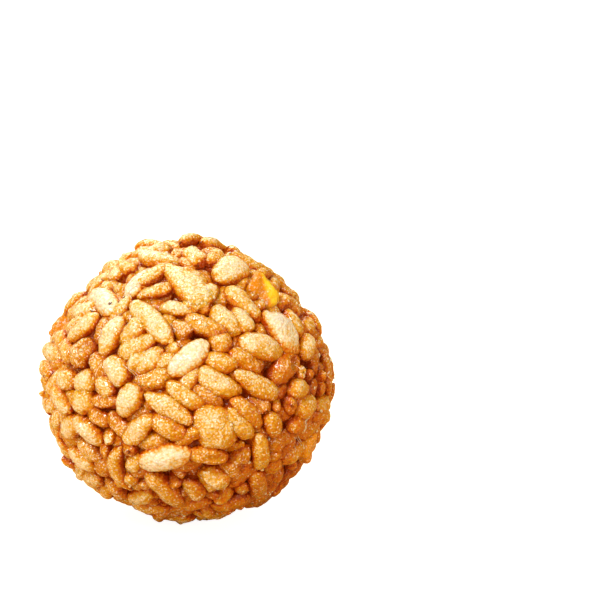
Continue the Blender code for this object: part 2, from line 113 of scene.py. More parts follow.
# The grains that mark the shown face, in millimetres and degrees from its middle:
# across, up, turn of the long axis, length, width, lift of the crown, tone, form.
SHOWN_GRAINS = (
    # Crown of the face.
    (-5.7, 21.5, 10, 7.5, 4.2, 0.1, CREAM, LUMPY),
    (1.6, 20.1, -62, 5.8, 3.3, 0.1, CREAM, PLAIN),
    (4.9, 19.8, 48, 5.6, 3.0, 0.1, GOLDEN, PLAIN),
    (10.9, 19.3, -32, 7.6, 3.4, 0.1, GOLDEN, PLAIN),
    (13.6, 17.7, 18, 6.8, 2.8, 0.1, GOLDEN, PLAIN),
    (16.3, 15.8, -48, 6.8, 3.0, 0.0, AMBER, LUMPY),
    (7.2, 17.4, 40, 8.0, 4.9, 0.6, CREAM, TEARDROP),
    (0.3, 15.4, -51, 11.6, 5.0, 0.4, CREAM, BURST),
    (-5.1, 17.3, 33, 7.2, 2.7, 0.1, GOLDEN, PLAIN),
    (-8.3, 16.0, 45, 7.6, 3.2, 0.3, PALE, SPINDLE),
    (-9.6, 18.8, -50, 4.4, 2.8, 0.1, CREAM, PLAIN),
    (-11.6, 18.2, -75, 5.5, 3.2, 0.0, GOLDEN, LUMPY),
    (-14.6, 16.8, 25, 6.5, 3.0, -0.1, GOLDEN, PLAIN),
    # Upper left.
    (-14.2, 13.2, -45, 7.8, 5.0, 0.4, PALE, TEARDROP),
    (-11.5, 12.1, 50, 4.6, 2.4, 0.1, GOLDEN, LUMPY),
    (-18.4, 12.2, 38, 7.4, 3.4, -0.2, GOLDEN, PLAIN),
    (-16.8, 11.4, 18, 6.0, 3.4, 0.3, CREAM, PLAIN),
    (-18.0, 9.1, 35, 5.0, 2.6, 0.0, GOLDEN, PLAIN),
    (-16.6, 8.4, 37, 7.4, 2.9, 0.4, CREAM, PLAIN),
    (-20.2, 6.3, -75, 5.0, 2.8, 0.1, CREAM, PLAIN),
    (-16.6, 4.5, 42, 5.8, 3.8, 0.2, AMBER, CUPPED),
    (-19.2, 4.6, -65, 5.5, 2.8, -0.1, GOLDEN, PLAIN),
    (-12.0, 7.0, 63, 7.4, 3.1, 0.4, CREAM, SPINDLE),
    (-13.8, 8.3, 62, 6.0, 2.6, -0.6, AMBER, PLAIN),
    (-10.6, 11.6, 50, 5.4, 2.3, 0.1, GOLDEN, SPINDLE),
    (-8.4, 8.1, 42, 6.8, 3.6, 0.1, CREAM, PLAIN),
    (-5.0, 14.3, 18, 6.4, 3.5, -0.1, GOLDEN, SPLIT),
    (-5.5, 9.2, -47, 10.6, 3.4, 0.7, CREAM, BLADE),
    (-8.0, 5.2, 28, 7.2, 3.0, -0.1, CREAM, PLAIN),
    (-6.6, 3.0, 32, 6.8, 3.4, 0.0, CREAM, BURST),
    (-4.1, 0.6, 15, 8.2, 4.4, 0.0, GOLDEN, LUMPY),
    (-1.5, 11.5, -8, 6.0, 2.5, -0.1, CREAM, SPINDLE),
    (-0.7, 8.1, -50, 3.8, 2.9, -0.1, AMBER, PLAIN),
    # Upper right.
    (1.8, 12.4, -30, 5.2, 3.8, 0.1, CREAM, LUMPY),
    (4.0, 13.7, 62, 4.4, 2.3, 0.2, CREAM, PLAIN),
    (9.6, 11.9, -42, 8.0, 3.3, 0.3, CREAM, PLAIN),
    (6.4, 9.3, -45, 6.6, 3.6, 0.1, CREAM, SPLIT),
    (9.3, 9.2, -55, 5.2, 2.9, 0.2, CREAM, PLAIN),
    (3.2, 8.4, -22, 7.2, 3.0, 0.1, GOLDEN, PLAIN),
    (5.7, 5.3, -70, 3.8, 3.3, 0.0, GOLDEN, PLAIN),
    (0.4, 3.9, 39, 8.9, 3.7, 0.8, PALE, WHOLE),
    (5.3, 2.4, -12, 6.2, 3.0, 0.2, CREAM, PLAIN),
    (9.3, 2.4, -38, 6.4, 2.8, 0.0, GOLDEN, PLAIN),
    (12.1, 4.6, -18, 8.8, 3.9, 0.5, CREAM, SPINDLE),
    (15.5, 6.9, -58, 9.2, 4.8, 0.5, PALE, BURST),
    (17.3, 11.9, -30, 6.6, 4.2, 0.1, GOLDEN, LUMPY),
    (17.8, 8.5, -68, 5.2, 2.8, 0.1, CREAM, PLAIN),
    (20.4, 8.2, 65, 5.0, 2.8, 0.0, GOLDEN, PLAIN),
    (19.3, 4.5, 70, 5.8, 3.2, 0.2, CREAM, PLAIN),
    (15.5, 1.0, 45, 7.5, 3.8, 0.0, AMBER, CUPPED),
    # Lower right.
    (5.0, -0.9, -28, 8.2, 3.5, 0.3, CREAM, PLAIN),
    (10.8, -1.3, -30, 8.9, 3.1, 0.3, GOLDEN, PLAIN),
    (2.9, -2.8, -34, 6.2, 2.6, -0.4, AMBER, PLAIN),
    (9.0, -5.5, -47, 7.3, 3.1, 0.3, GOLDEN, PLAIN),
    (4.2, -7.6, -45, 8.2, 6.0, 0.5, CREAM, BURST),
    (7.9, -7.1, -50, 6.8, 3.0, 0.2, CREAM, PLAIN),
    (0.4, -8.8, 28, 5.8, 2.6, 0.0, GOLDEN, LUMPY),
    (3.1, -11.9, -12, 6.6, 3.1, 0.2, GOLDEN, SPLIT),
    (11.0, -11.5, -84, 7.2, 2.8, 0.3, CREAM, PLAIN),
    (12.9, -7.4, -68, 4.6, 2.6, 0.2, GOLDEN, PLAIN),
    (7.5, -13.5, 42, 5.6, 3.6, 0.0, AMBER, LUMPY),
    (14.6, -10.1, 28, 6.6, 3.8, 0.1, AMBER, LUMPY),
    (16.9, -7.8, -5, 4.6, 3.0, 0.3, GOLDEN, PLAIN),
    (18.5, -5.0, 30, 5.8, 3.4, 0.3, CREAM, PLAIN),
    (17.4, -2.1, 0, 4.8, 3.0, 0.2, CREAM, PLAIN),
    (21.5, -4.8, 15, 6.8, 3.2, 0.1, CREAM, PLAIN),
    (16.4, -12.3, 35, 5.8, 3.0, 0.1, CREAM, PLAIN),
    (13.2, -14.1, 20, 4.0, 2.8, 0.0, GOLDEN, PLAIN),
    (3.9, -15.9, -35, 6.0, 4.2, 0.2, CREAM, SPLIT),
    (0.6, -17.2, -48, 5.2, 2.9, 0.1, GOLDEN, PLAIN),
    (10.8, -17.3, -74, 9.0, 3.0, 0.2, GOLDEN, PLAIN),
    (6.7, -20.1, 12, 7.2, 3.4, 0.1, GOLDEN, PLAIN),
    (0.8, -20.1, 10, 6.4, 2.8, 0.0, GOLDEN, PLAIN),
    # Lower left.
    (0.2, -0.3, 63, 5.5, 2.6, -0.1, GOLDEN, PLAIN),
    (-0.3, -2.7, -34, 7.4, 2.7, 0.1, CREAM, PLAIN),
    (-2.9, -4.4, -32, 8.9, 2.9, 0.3, GOLDEN, PLAIN),
    (-3.0, -7.3, -32, 6.4, 3.1, 0.1, GOLDEN, PLAIN),
    (-7.4, -7.5, 38, 6.8, 3.2, 0.1, CREAM, PLAIN),
    (-9.0, -3.3, 58, 5.8, 3.9, 0.6, CREAM, PLAIN),
    (-11.0, 1.4, -60, 5.4, 3.4, 0.3, CREAM, PLAIN),
    (-12.5, -1.2, -60, 4.0, 2.8, 0.1, GOLDEN, PLAIN),
    (-15.9, -0.1, 15, 4.6, 3.6, 0.2, CREAM, PLAIN),
    (-18.9, 0.1, 10, 5.0, 3.0, 0.0, GOLDEN, PLAIN),
    (-13.9, 2.0, -60, 6.0, 3.4, -0.5, AMBER, PLAIN),
    (-16.0, -3.0, -75, 5.0, 4.3, 0.3, CREAM, PLAIN),
    (-19.7, -3.1, -55, 6.3, 3.1, 0.2, CREAM, PLAIN),
    (-18.5, -7.3, 40, 6.2, 3.4, 0.1, CREAM, PLAIN),
    (-15.3, -7.7, -45, 6.6, 3.1, 0.3, CREAM, PLAIN),
    (-13.6, -5.8, -25, 4.8, 2.8, -0.4, AMBER, PLAIN),
    (-10.6, -7.0, -45, 5.2, 2.7, -0.6, AMBER, PLAIN),
    (-10.6, -13.5, -80, 9.4, 2.7, 0.3, GOLDEN, CRESCENT),
    (-8.2, -12.6, 55, 4.2, 2.3, 0.0, CREAM, PLAIN),
    (-3.8, -12.0, 14, 9.2, 4.1, 0.6, PALE, SPINDLE),
    (-9.2, -15.5, 20, 3.4, 2.6, 0.0, GOLDEN, PLAIN),
    (-3.8, -17.3, -48, 9.6, 3.5, 0.4, GOLDEN, PLAIN),
    (-7.8, -18.8, 15, 5.8, 2.8, 0.1, CREAM, PLAIN),
    (-6.8, -20.8, -12, 7.8, 3.0, 0.0, GOLDEN, PLAIN),
    (-17.0, -12.6, -38, 6.2, 3.3, 0.2, CREAM, PLAIN),
    (-15.0, -11.3, -50, 5.6, 2.8, -0.2, AMBER, PLAIN),
    (-13.4, -13.6, 60, 5.6, 3.2, -0.3, AMBER, PLAIN),
    (-15.5, -16.0, 22, 7.0, 3.4, 0.1, GOLDEN, PLAIN),
    (-11.9, -17.5, -50, 5.6, 3.0, -0.1, AMBER, PLAIN),
)

# Grains of that table that shifted once the rest had set: across and up as above, how far they
# moved across, up and outward in millimetres, and what their length and width are multiplied by.
SLID_GRAINS = (
    (0.4, 3.9, -0.1, -0.95, 0.35, 0.94, 1.0),
    (-4.1, 0.6, -0.9, -0.6, -0.9, 1.0, 1.0),
    (-14.2, 13.2, 1.0, -0.5, 0.8, 1.36, 0.76),
    (-11.5, 12.1, 0.5, 0.2, -0.5, 0.9, 0.9),
    (-8.3, 16.0, 0.9, 0.0, 0.0, 1.0, 1.0),
)


# ---------------------------------------------------------------- small helpers


def linear(hex_colour: str) -> tuple[float, float, float, float]:
    """Turn an sRGB hex value to a linear colour.

    Args:
        hex_colour: six hex digits after a hash sign.

    Returns:
        Red, green and blue in linear light, with alpha 1.
    """
    shares = [int(hex_colour[i:i + 2], 16) / 255 for i in (1, 3, 5)]
    light = [s / 12.92 if s <= 0.04045 else ((s + 0.055) / 1.055) ** 2.4 for s in shares]
    return (*light, 1.0)


def unit(vectors: np.ndarray) -> np.ndarray:
    """The vectors at length 1, along the last axis."""
    return vectors / np.sqrt((vectors * vectors).sum(axis=-1, keepdims=True))


def along(vectors: np.ndarray, others: np.ndarray) -> np.ndarray:
    """Dot products along the last axis, which is kept."""
    return (vectors * others).sum(axis=-1, keepdims=True)


def evenly_round(count: int) -> np.ndarray:
    """Spread directions evenly all round, along a spiral.

    Args:
        count: how many.

    Returns:
        Directions of length 1, one a row.
    """
    number = np.arange(count) + 0.5
    height = 1.0 - 2.0 * number / count
    turn = math.pi * (1.0 + math.sqrt(5.0)) * number
    level = np.sqrt(1.0 - height**2)
    return np.stack([level * np.cos(turn), level * np.sin(turn), height], axis=1)


def smooth_step(low: float, high: float, values: np.ndarray) -> np.ndarray:
    """Rise from 0 at low to 1 at high, level at both ends."""
    share = np.clip((values - low) / (high - low), 0.0, 1.0)
    return share * share * (3.0 - 2.0 * share)


class LatticeNoise:
    """Smooth random swelling, from -1 to 1: values on a cubic lattice, blended in between."""

    SIZE = 32

    def __init__(self, seed: int) -> None:
        """Draw the lattice's values.

        Args:
            seed: what the draw starts from.
        """
        self.values = np.random.default_rng(seed).uniform(-1.0, 1.0, (self.SIZE,) * 3)

    def at(self, points: np.ndarray, feature: float) -> np.ndarray:
        """The noise at some points.

        Args:
            points: places in metres, with x, y and z on the last axis.
            feature: size of one swelling in metres.

        Returns:
            One value a point.
        """
        scaled = points / feature
        cell = np.floor(scaled).astype(np.int64)
        share = scaled - cell
        share = share * share * (3.0 - 2.0 * share)
        total = np.zeros(points.shape[:-1])
        for corner in np.ndindex(2, 2, 2):
            weight = np.where(corner, share, 1.0 - share).prod(axis=-1)
            i, j, k = np.moveaxis((cell + corner) % self.SIZE, -1, 0)
            total += weight * self.values[i, j, k]
        return total


# ---------------------------------------------------------------- the ball and its grains


@dataclass(frozen=True)
class BallForm:
    """The outer form of the ball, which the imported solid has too."""

    width: float = 49.6 * MM
    height: float = 48.2 * MM
    flat_depth: float = 0.75 * MM
    unevenness: float = 0.012
    shoulder_drop: float = 0.045
    face_tilt: float = math.radians(20.0)
    thickest_grain: float = 3.3 * MM

    @property
    def middle(self) -> np.ndarray:
        """Middle of the ball."""
        return np.array([0.0, 0.0, self.height / 2 - self.flat_depth])

    @property
    def face_right(self) -> np.ndarray:
        """To the right on the shown face."""
        return np.array([1.0, 0.0, 0.0])

    @property
    def face_up(self) -> np.ndarray:
        """Upwards on the shown face."""
        return np.array([0.0, math.sin(self.face_tilt), math.cos(self.face_tilt)])

    @property
    def face_out(self) -> np.ndarray:
        """Straight out of the middle of the shown face."""
        return np.array([0.0, -math.cos(self.face_tilt), math.sin(self.face_tilt)])

    def crown_radius(self, outward: np.ndarray) -> np.ndarray:
        """How far out the crowns of the grains lie.

        Args:
            outward: directions of length 1 from the middle.

        Returns:
            Distances from the middle, in metres.
        """
        x, y, z = outward[..., 0], outward[..., 1], outward[..., 2]
        flattening = (x * x + y * y) / (self.width / 2) ** 2 + z * z / (self.height / 2) ** 2
        swell = self.unevenness * np.sin(3.1 * x + 2.0 * z + 0.4) * np.cos(2.7 * y - 1.9 * z)
        shoulder = self.shoulder_drop * 4.0 * (x * x + y * y) * np.maximum(z, 0.0) ** 2
        return (1.0 + swell - shoulder) / np.sqrt(flattening)

    def depth(self, points: np.ndarray) -> np.ndarray:
        """How far below the crowns some points lie.

        Args:
            points: places in metres.

        Returns:
            Depths in metres.
        """
        reach = points - self.middle
        distance = np.sqrt((reach * reach).sum(axis=-1))
        return self.crown_radius(unit(reach)) - distance

    def face_direction(self, across: np.ndarray, up: np.ndarray) -> np.ndarray:
        """Outward directions of places on the shown face.

        Args:
            across: metres to the right of its middle.
            up: metres above its middle.

        Returns:
            One direction of length 1 for each place.
        """
        reach = self.width / 2 - self.thickest_grain / 2
        out = np.sqrt(np.maximum(reach**2 - across**2 - up**2, (0.1 * reach) ** 2))
        return unit(
            across[:, None] * self.face_right + up[:, None] * self.face_up
            + out[:, None] * self.face_out
        )

    def laid_on_face(self, outward: np.ndarray, turn: np.ndarray) -> np.ndarray:
        """Long axes that lie on the ball and look turned by an angle from in front.

        Args:
            outward: direction of each grain from the middle.
            turn: angle from the face's right, in radians.

        Returns:
            One axis of length 1 for each grain.
        """
        seen = np.cos(turn)[:, None] * self.face_right + np.sin(turn)[:, None] * self.face_up
        slope = along(seen, outward) / along(self.face_out, outward)
        return unit(seen - slope * self.face_out)


@dataclass
class GrainLayer:
    """A layer of grains as arrays with one row a grain."""

    ball: BallForm
    outward: np.ndarray
    axes: np.ndarray
    lengths: np.ndarray
    widths: np.ndarray
    lifts: np.ndarray
    centres: np.ndarray = field(init=False)

    FLATNESS = 0.86  # thickness of a grain as a share of its width
    MOST_SINK = 1.3 * MM  # how far a crowded grain is pushed into the ball
    PUSH = 0.3  # share of a crowding that one push takes away
    STIFFNESS = 0.2  # how hard a grain is to turn
    SINK_BACK = 0.15  # share of the way back to its rest that a grain goes after a push

    def __post_init__(self) -> None:
        """Rest each grain with its highest point at the crowns."""
        resting = self.resting_radius(self.outward)[:, None]
        self.centres = self.ball.middle + self.outward * resting

    @property
    def thicknesses(self) -> np.ndarray:
        """Grains are a little flatter than wide, and a burst one is wide without being thick."""
        return np.minimum(self.widths * self.FLATNESS, self.ball.thickest_grain)

    def resting_radius(self, outward: np.ndarray) -> np.ndarray:
        """How far out the middles of the grains rest.

        Args:
            outward: direction of each grain from the middle.

        Returns:
            Distances from the ball's middle, in metres.
        """
        rise = along(self.axes, outward)[:, 0]
        lying = self.thicknesses / 2 * np.sqrt(1.0 - rise * rise)
        standing = self.lengths / 2 * rise
        return self.ball.crown_radius(outward) + self.lifts - np.sqrt(lying**2 + standing**2)

    def beads(self) -> np.ndarray:
        """Middles of the three beads along each grain."""
        spots = (self.lengths[:, None] * BEAD_SPOTS)[..., None]
        return self.centres[:, None] + self.axes[:, None] * spots

    def bead_radii(self) -> np.ndarray:
        """Radius of each bead."""
        return self.widths[:, None] * BEAD_GIRTHS

    def settle(self, first_loose: int, rounds: int) -> None:
        """Push grains that crowd each other apart.

        Args:
            first_loose: the row of the first grain that may move.
            rounds: how often the grains are pushed.
        """
        radii = self.bead_radii().reshape(-1)
        touching = radii[:, None] + radii[None]
        owner = np.repeat(np.arange(len(self.widths)), len(BEAD_SPOTS))
        touching[owner[:, None] == owner[None]] = 0.0
        for _ in range(rounds):
            beads = self.beads()
            flat = beads.reshape(-1, 3)
            apart = flat[:, None] - flat[None]
            distance = np.sqrt((apart * apart).sum(axis=2)) + 1e-9
            crowding = np.maximum(touching - distance, 0.0) / distance
            push = (apart * crowding[..., None]).sum(axis=1).reshape(beads.shape)
            push = self.PUSH * push
            arm = beads - self.centres[:, None]
            drag = (self.STIFFNESS * self.lengths**2)[:, None]
            spin = np.cross(arm, push).sum(axis=1) / drag
            moved = self.centres + push.mean(axis=1)
            outward = unit(moved - self.ball.middle)
            radius = np.sqrt(((moved - self.ball.middle) ** 2).sum(axis=1))
            rest = self.resting_radius(outward)
            radius = radius + self.SINK_BACK * (rest - radius)
            radius = np.clip(radius, rest - self.MOST_SINK, rest)
            moved = self.ball.middle + outward * radius[:, None]
            self.centres[first_loose:] = moved[first_loose:]
            turned = unit(self.axes + np.cross(spin, self.axes))
            self.axes[first_loose:] = turned[first_loose:]

    def rows(self, chosen: np.ndarray | slice) -> GrainLayer:
        """Take some of the grains, where they lie.

        Args:
            chosen: their rows.

        Returns:
            A layer of these alone.
        """
        part = GrainLayer(
            self.ball, self.outward[chosen], self.axes[chosen], self.lengths[chosen],
            self.widths[chosen], self.lifts[chosen],
        )
        part.centres = self.centres[chosen]
        return part


@dataclass(frozen=True)
class OuterLayerRule:
    """How the outer grains are laid: as listed on the shown face, then thrown, largest first."""

    ball: BallForm
    grain_length: float = 7.3 * MM
    grain_width: float = 3.0 * MM
    seed: int = 8
    throws: int = 9000
    largest: float = 1.2
    smallest: float = 0.72
    size_spread: float = 0.05
    slimness_spread: float = 0.09
    slimness_ends: tuple[float, float] = (0.8, 1.25)
    lift: float = -0.2 * MM
    lift_spread: float = 0.3 * MM
    lift_ends: tuple[float, float] = (-0.9 * MM, 0.4 * MM)
    crowding: float = 0.74
    lean_spread: float = math.radians(10.0)
    standing_share: float = 0.13
    standing_lean: tuple[float, float] = (math.radians(50), math.radians(85))
    settle_rounds: int = 60
    foot_ring_radius: float = 5.0 * MM
    foot_ring_count: int = 6
    foot_ring_start: float = 0.2  # in steps of the ring
    foot_ring_skew: float = 0.25
    foot_length: float = 0.8  # of a usual grain's
    foot_width: float = 1.1
    foot_cut: float = 0.45 * MM

    def placed(self) -> tuple[np.ndarray, ...]:
        """Lay the grains of the shown face, from the table.

        Returns:
            Their directions, axes, lengths, widths and lifts.
        """
        rows = np.array([row[:6] for row in SHOWN_GRAINS])
        across, up, turn, length, width, lift = rows.T
        outward = self.ball.face_direction(across * MM, up * MM)
        axes = self.ball.laid_on_face(outward, np.radians(turn))
        return outward, axes, length * MM, width * MM, lift * MM

    def foot(self) -> tuple[np.ndarray, ...]:
        """Lay a grain at the bottom and a ring round it, which give the ball a flat to rest on.

        Returns:
            Their directions, axes, lengths, widths and lifts.
        """
        count = self.foot_ring_count
        angle = 2 * math.pi * (np.arange(count) + self.foot_ring_start) / count
        ring = np.stack([np.cos(angle), np.sin(angle), np.zeros(count)], axis=1)
        places = np.concatenate([[[0.0, 0.0, 0.0]], ring * self.foot_ring_radius])
        tangents = np.stack([-np.sin(angle), np.cos(angle), np.zeros(count)], axis=1)
        ring_axes = tangents + ring * self.foot_ring_skew
        axes = unit(np.concatenate([[[1.0, 0.0, 0.0]], ring_axes]))
        lengths = np.full(len(places), self.grain_length * self.foot_length)
        widths = np.full(len(places), self.grain_width * self.foot_width)
        half = np.minimum(widths * GrainLayer.FLATNESS, self.ball.thickest_grain) / 2
        places[:, 2] = half - self.foot_cut
        reach = places - self.ball.middle
        outward = unit(reach)
        lifts = np.sqrt((reach * reach).sum(axis=1)) + half - self.ball.crown_radius(outward)
        return outward, axes, lengths, widths, lifts

    def laid_at_random(self, outward: np.ndarray, rng: np.random.Generator) -> np.ndarray:
        """Turn grains at random on the ball, and stand some of them on end.

        Args:
            outward: direction of each grain from the middle.
            rng: where the draws come from.

        Returns:
            Their long axes.
        """
        count = len(outward)
        axes = unit(np.cross(outward, rng.normal(size=(count, 3))))
        lean = rng.normal(0.0, self.lean_spread, count)
        standing = rng.random(count) < self.standing_share
        lean = np.where(standing, rng.uniform(*self.standing_lean, count), lean)
        return unit(axes * np.cos(lean)[:, None] + outward * np.sin(lean)[:, None])

    def thrown(self, rng: np.random.Generator) -> tuple[np.ndarray, ...]:
        """Throw candidates for the loose grains, the largest first.

        Args:
            rng: where the draws come from.

        Returns:
            Their directions, axes, lengths, widths and lifts.
        """
        outward = unit(rng.normal(size=(self.throws, 3)))
        axes = self.laid_at_random(outward, rng)
        size = np.linspace(self.largest, self.smallest, self.throws)
        size = size * rng.normal(1.0, self.size_spread, self.throws)
        slimness = rng.normal(1.0, self.slimness_spread, self.throws).clip(*self.slimness_ends)
        lifts = rng.normal(self.lift, self.lift_spread, self.throws).clip(*self.lift_ends)
        lengths = self.grain_length * size * slimness
        return outward, axes, lengths, self.grain_width * size / slimness, lifts

    def loose(self, placed: GrainLayer, rng: np.random.Generator) -> tuple[np.ndarray, ...]:
        """The thrown grains that find a free place.

        Args:
            placed: what is laid already.
            rng: where the throws come from.

        Returns:
            Directions, axes, lengths, widths and lifts of the grains that stay.
        """
        rows = self.thrown(rng)
        candidates = GrainLayer(self.ball, *rows)
        beads, radii = candidates.beads(), candidates.bead_radii()
        room = np.zeros((self.throws, 3))
        taken = np.concatenate([placed.beads().reshape(-1, 3), room])
        taken_radii = np.concatenate([placed.bead_radii().reshape(-1), room[:, 0]])
        filled, step, kept = placed.beads().size // 3, len(BEAD_SPOTS), []
        for number in range(self.throws):
            if filled + step > len(taken):
                break
            apart = beads[number][:, None] - taken[None, :filled]
            reach = radii[number][:, None] + taken_radii[None, :filled]
            if (np.sqrt((apart * apart).sum(axis=2)) > self.crowding * reach).all():
                taken[filled:filled + step] = beads[number]
                taken_radii[filled:filled + step] = radii[number]
                filled += step
                kept.append(number)
        return tuple(row[kept] for row in rows)

    def lay(self, stand_ins: tuple[np.ndarray, ...]) -> GrainLayer:
        """Lay the whole outer layer.

        Args:
            stand_ins: rows that keep the loose grains off the chips of peel.

        Returns:
            The settled grains, those of the shown face first, without the stand-ins.
        """
        rng = np.random.default_rng(self.seed)
        fixed = [np.concatenate(p) for p in zip(stand_ins, self.placed(), self.foot())]
        loose = self.loose(GrainLayer(self.ball, *fixed), rng)
        layer = GrainLayer(self.ball, *[np.concatenate(p) for p in zip(fixed, loose)])
        layer.settle(first_loose=len(fixed[0]), rounds=self.settle_rounds)
        return layer.rows(slice(len(stand_ins[0]), None))


@dataclass(frozen=True)
class GapRule:
    """How the gaps of a layer are filled from below, the widest gap first."""

    ball: BallForm
    tries: int = 3000
    turns: int = 8
    most: int = 420
    most_overlap: float = 0.95 * MM
    length_ends: tuple[float, float] = (4.4, 6.6)  # millimetres
    width_ends: tuple[float, float] = (2.3, 3.0)  # millimetres
    shallowest: float = 0.35 * MM
    deepest: float = 1.15 * MM
    seed: int = 17

    def lay(self, around: GrainLayer) -> GrainLayer:
        """Lay the grains that show in the gaps.

        Args:
            around: the layer with the gaps.

        Returns:
            The grains, each turned the way it fits best.
        """
        rng = np.random.default_rng(self.seed)
        outward = evenly_round(self.tries)
        lengths = rng.uniform(*self.length_ends, self.tries) * MM
        widths = rng.uniform(*self.width_ends, self.tries) * MM
        lifts = -rng.uniform(self.shallowest, self.deepest, self.tries)
        start = unit(np.cross(outward, rng.normal(size=outward.shape)))
        beside = np.cross(outward, start)
        best = np.full(self.tries, -np.inf)
        axes = start.copy()
        for turn in math.pi * np.arange(self.turns) / self.turns:
            turned = start * math.cos(turn) + beside * math.sin(turn)
            trial = GrainLayer(self.ball, outward, turned, lengths, widths, lifts)
            room = self._room(trial, around.beads().reshape(-1, 3), around.bead_radii().reshape(-1))
            axes[room > best] = turned[room > best]
            best = np.maximum(best, room)
        trial = GrainLayer(self.ball, outward, axes, lengths, widths, lifts)
        beads, radii = trial.beads(), trial.bead_radii()
        kept = []
        while len(kept) < self.most and best.max() > -self.most_overlap:
            kept.append(int(best.argmax()))
            best = np.minimum(best, self._room(trial, beads[kept[-1]], radii[kept[-1]]))
        return trial.rows(np.array(kept))

    @staticmethod
    def _room(trial: GrainLayer, spots: np.ndarray, sizes: np.ndarray) -> np.ndarray:
        """Least clearance of each grain from some beads.

        Args:
            trial: the grains.
            spots: middles of the beads.
            sizes: radii of the beads.

        Returns:
            Metres for each grain, negative where it overlaps a bead.
        """
        beads, radii = trial.beads(), trial.bead_radii()
        apart = beads[:, :, None] - spots
        clear = np.sqrt((apart * apart).sum(axis=-1)) - radii[..., None] - sizes
        return clear.min(axis=(1, 2))


# ---------------------------------------------------------------- meshes


def make_object(name: str, points: np.ndarray, faces: Sequence[np.ndarray]) -> bpy.types.Object:
    """Make a smooth-shaded object from arrays.

    Args:
        name: the object's name.
        points: corners in metres, three numbers a row.
        faces: arrays of corner numbers, each for faces with one number of sides.

    Returns:
        The object, linked to the scene.
    """
    mesh = bpy.data.meshes.new(name)
    mesh.vertices.add(len(points))
    mesh.vertices.foreach_set("co", np.ascontiguousarray(points, np.float32).reshape(-1))
    corners = np.concatenate([f.reshape(-1) for f in faces]).astype(np.int32)
    sides = np.concatenate([np.full(len(f), f.shape[1]) for f in faces])
    starts = np.concatenate([[0], np.cumsum(sides)[:-1]]).astype(np.int32)
    mesh.loops.add(len(corners))
    mesh.loops.foreach_set("vertex_index", corners)
    mesh.polygons.add(len(sides))
    mesh.polygons.foreach_set("loop_start", starts)
    mesh.update(calc_edges=True)
    mesh.shade_smooth()
    obj = bpy.data.objects.new(name, mesh)
    bpy.context.scene.collection.objects.link(obj)
    return obj


def vertices_of(obj: bpy.types.Object) -> np.ndarray:
    """Read where the vertices of an object's mesh lie.

    Args:
        obj: the object.

    Returns:
        Places in metres, three numbers a row.
    """
    points = np.empty(len(obj.data.vertices) * 3, np.float32)
    obj.data.vertices.foreach_get("co", points)
    return points.reshape(-1, 3).astype(np.float64)


def normals_of(obj: bpy.types.Object) -> np.ndarray:
    """Read the normals at the vertices of an object's mesh.

    Args:
        obj: the object.

    Returns:
        Directions of length 1, three numbers a row.
    """
    normals = np.empty(len(obj.data.vertices) * 3, np.float32)
    obj.data.vertices.foreach_get("normal", normals)
    return normals.reshape(-1, 3).astype(np.float64)


def paint(obj: bpy.types.Object, name: str, values: np.ndarray) -> None:
    """Store one number a vertex on the object's mesh, for its finish to read."""
    attribute = obj.data.attributes.new(name, "FLOAT", "POINT")
    attribute.data.foreach_set("value", np.ascontiguousarray(values, np.float32).reshape(-1))


class SpindleNet:
    """The net of rings and sides that every grain's skin is made on."""

    def __init__(self, rings: int, sides: int) -> None:
        """Lay out the net.

        Args:
            rings: rings of vertices from tip to tip.
            sides: vertices round each ring.
        """
        # The rings nearest the tips are 0.6 of a step from them, so that the tips close neatly.
        slant = math.pi * (np.arange(rings) + 0.6) / (rings + 0.2) - math.pi / 2
        turn = 2 * math.pi * np.arange(sides) / sides
        self.span = np.concatenate([[-1.0], np.repeat(np.sin(slant), sides), [1.0]])
        self.turn = np.concatenate([[0.0], np.tile(turn, rings), [0.0]])
        here = 1 + np.arange(rings)[:, None] * sides + np.arange(sides)[None]
        beside = np.roll(here, -1, axis=1)
        self.quads = np.stack([here[:-1], here[1:], beside[1:], beside[:-1]], axis=-1)
        self.quads = self.quads.reshape(-1, 4)[:, ::-1]
        last = np.full(sides, rings * sides + 1)
        near = np.stack([np.zeros(sides, int), beside[0], here[0]], axis=1)
        far = np.stack([last, here[-1], beside[-1]], axis=1)
        self.triangles = np.concatenate([near, far])[:, ::-1]

    def faces(self, copies: int) -> list[np.ndarray]:
        """Corner numbers of the faces of so many grains in a row."""
        shift = (np.arange(copies) * len(self.span))[:, None, None]
        return [(shift + f[None]).reshape(-1, f.shape[1]) for f in (self.quads, self.triangles)]


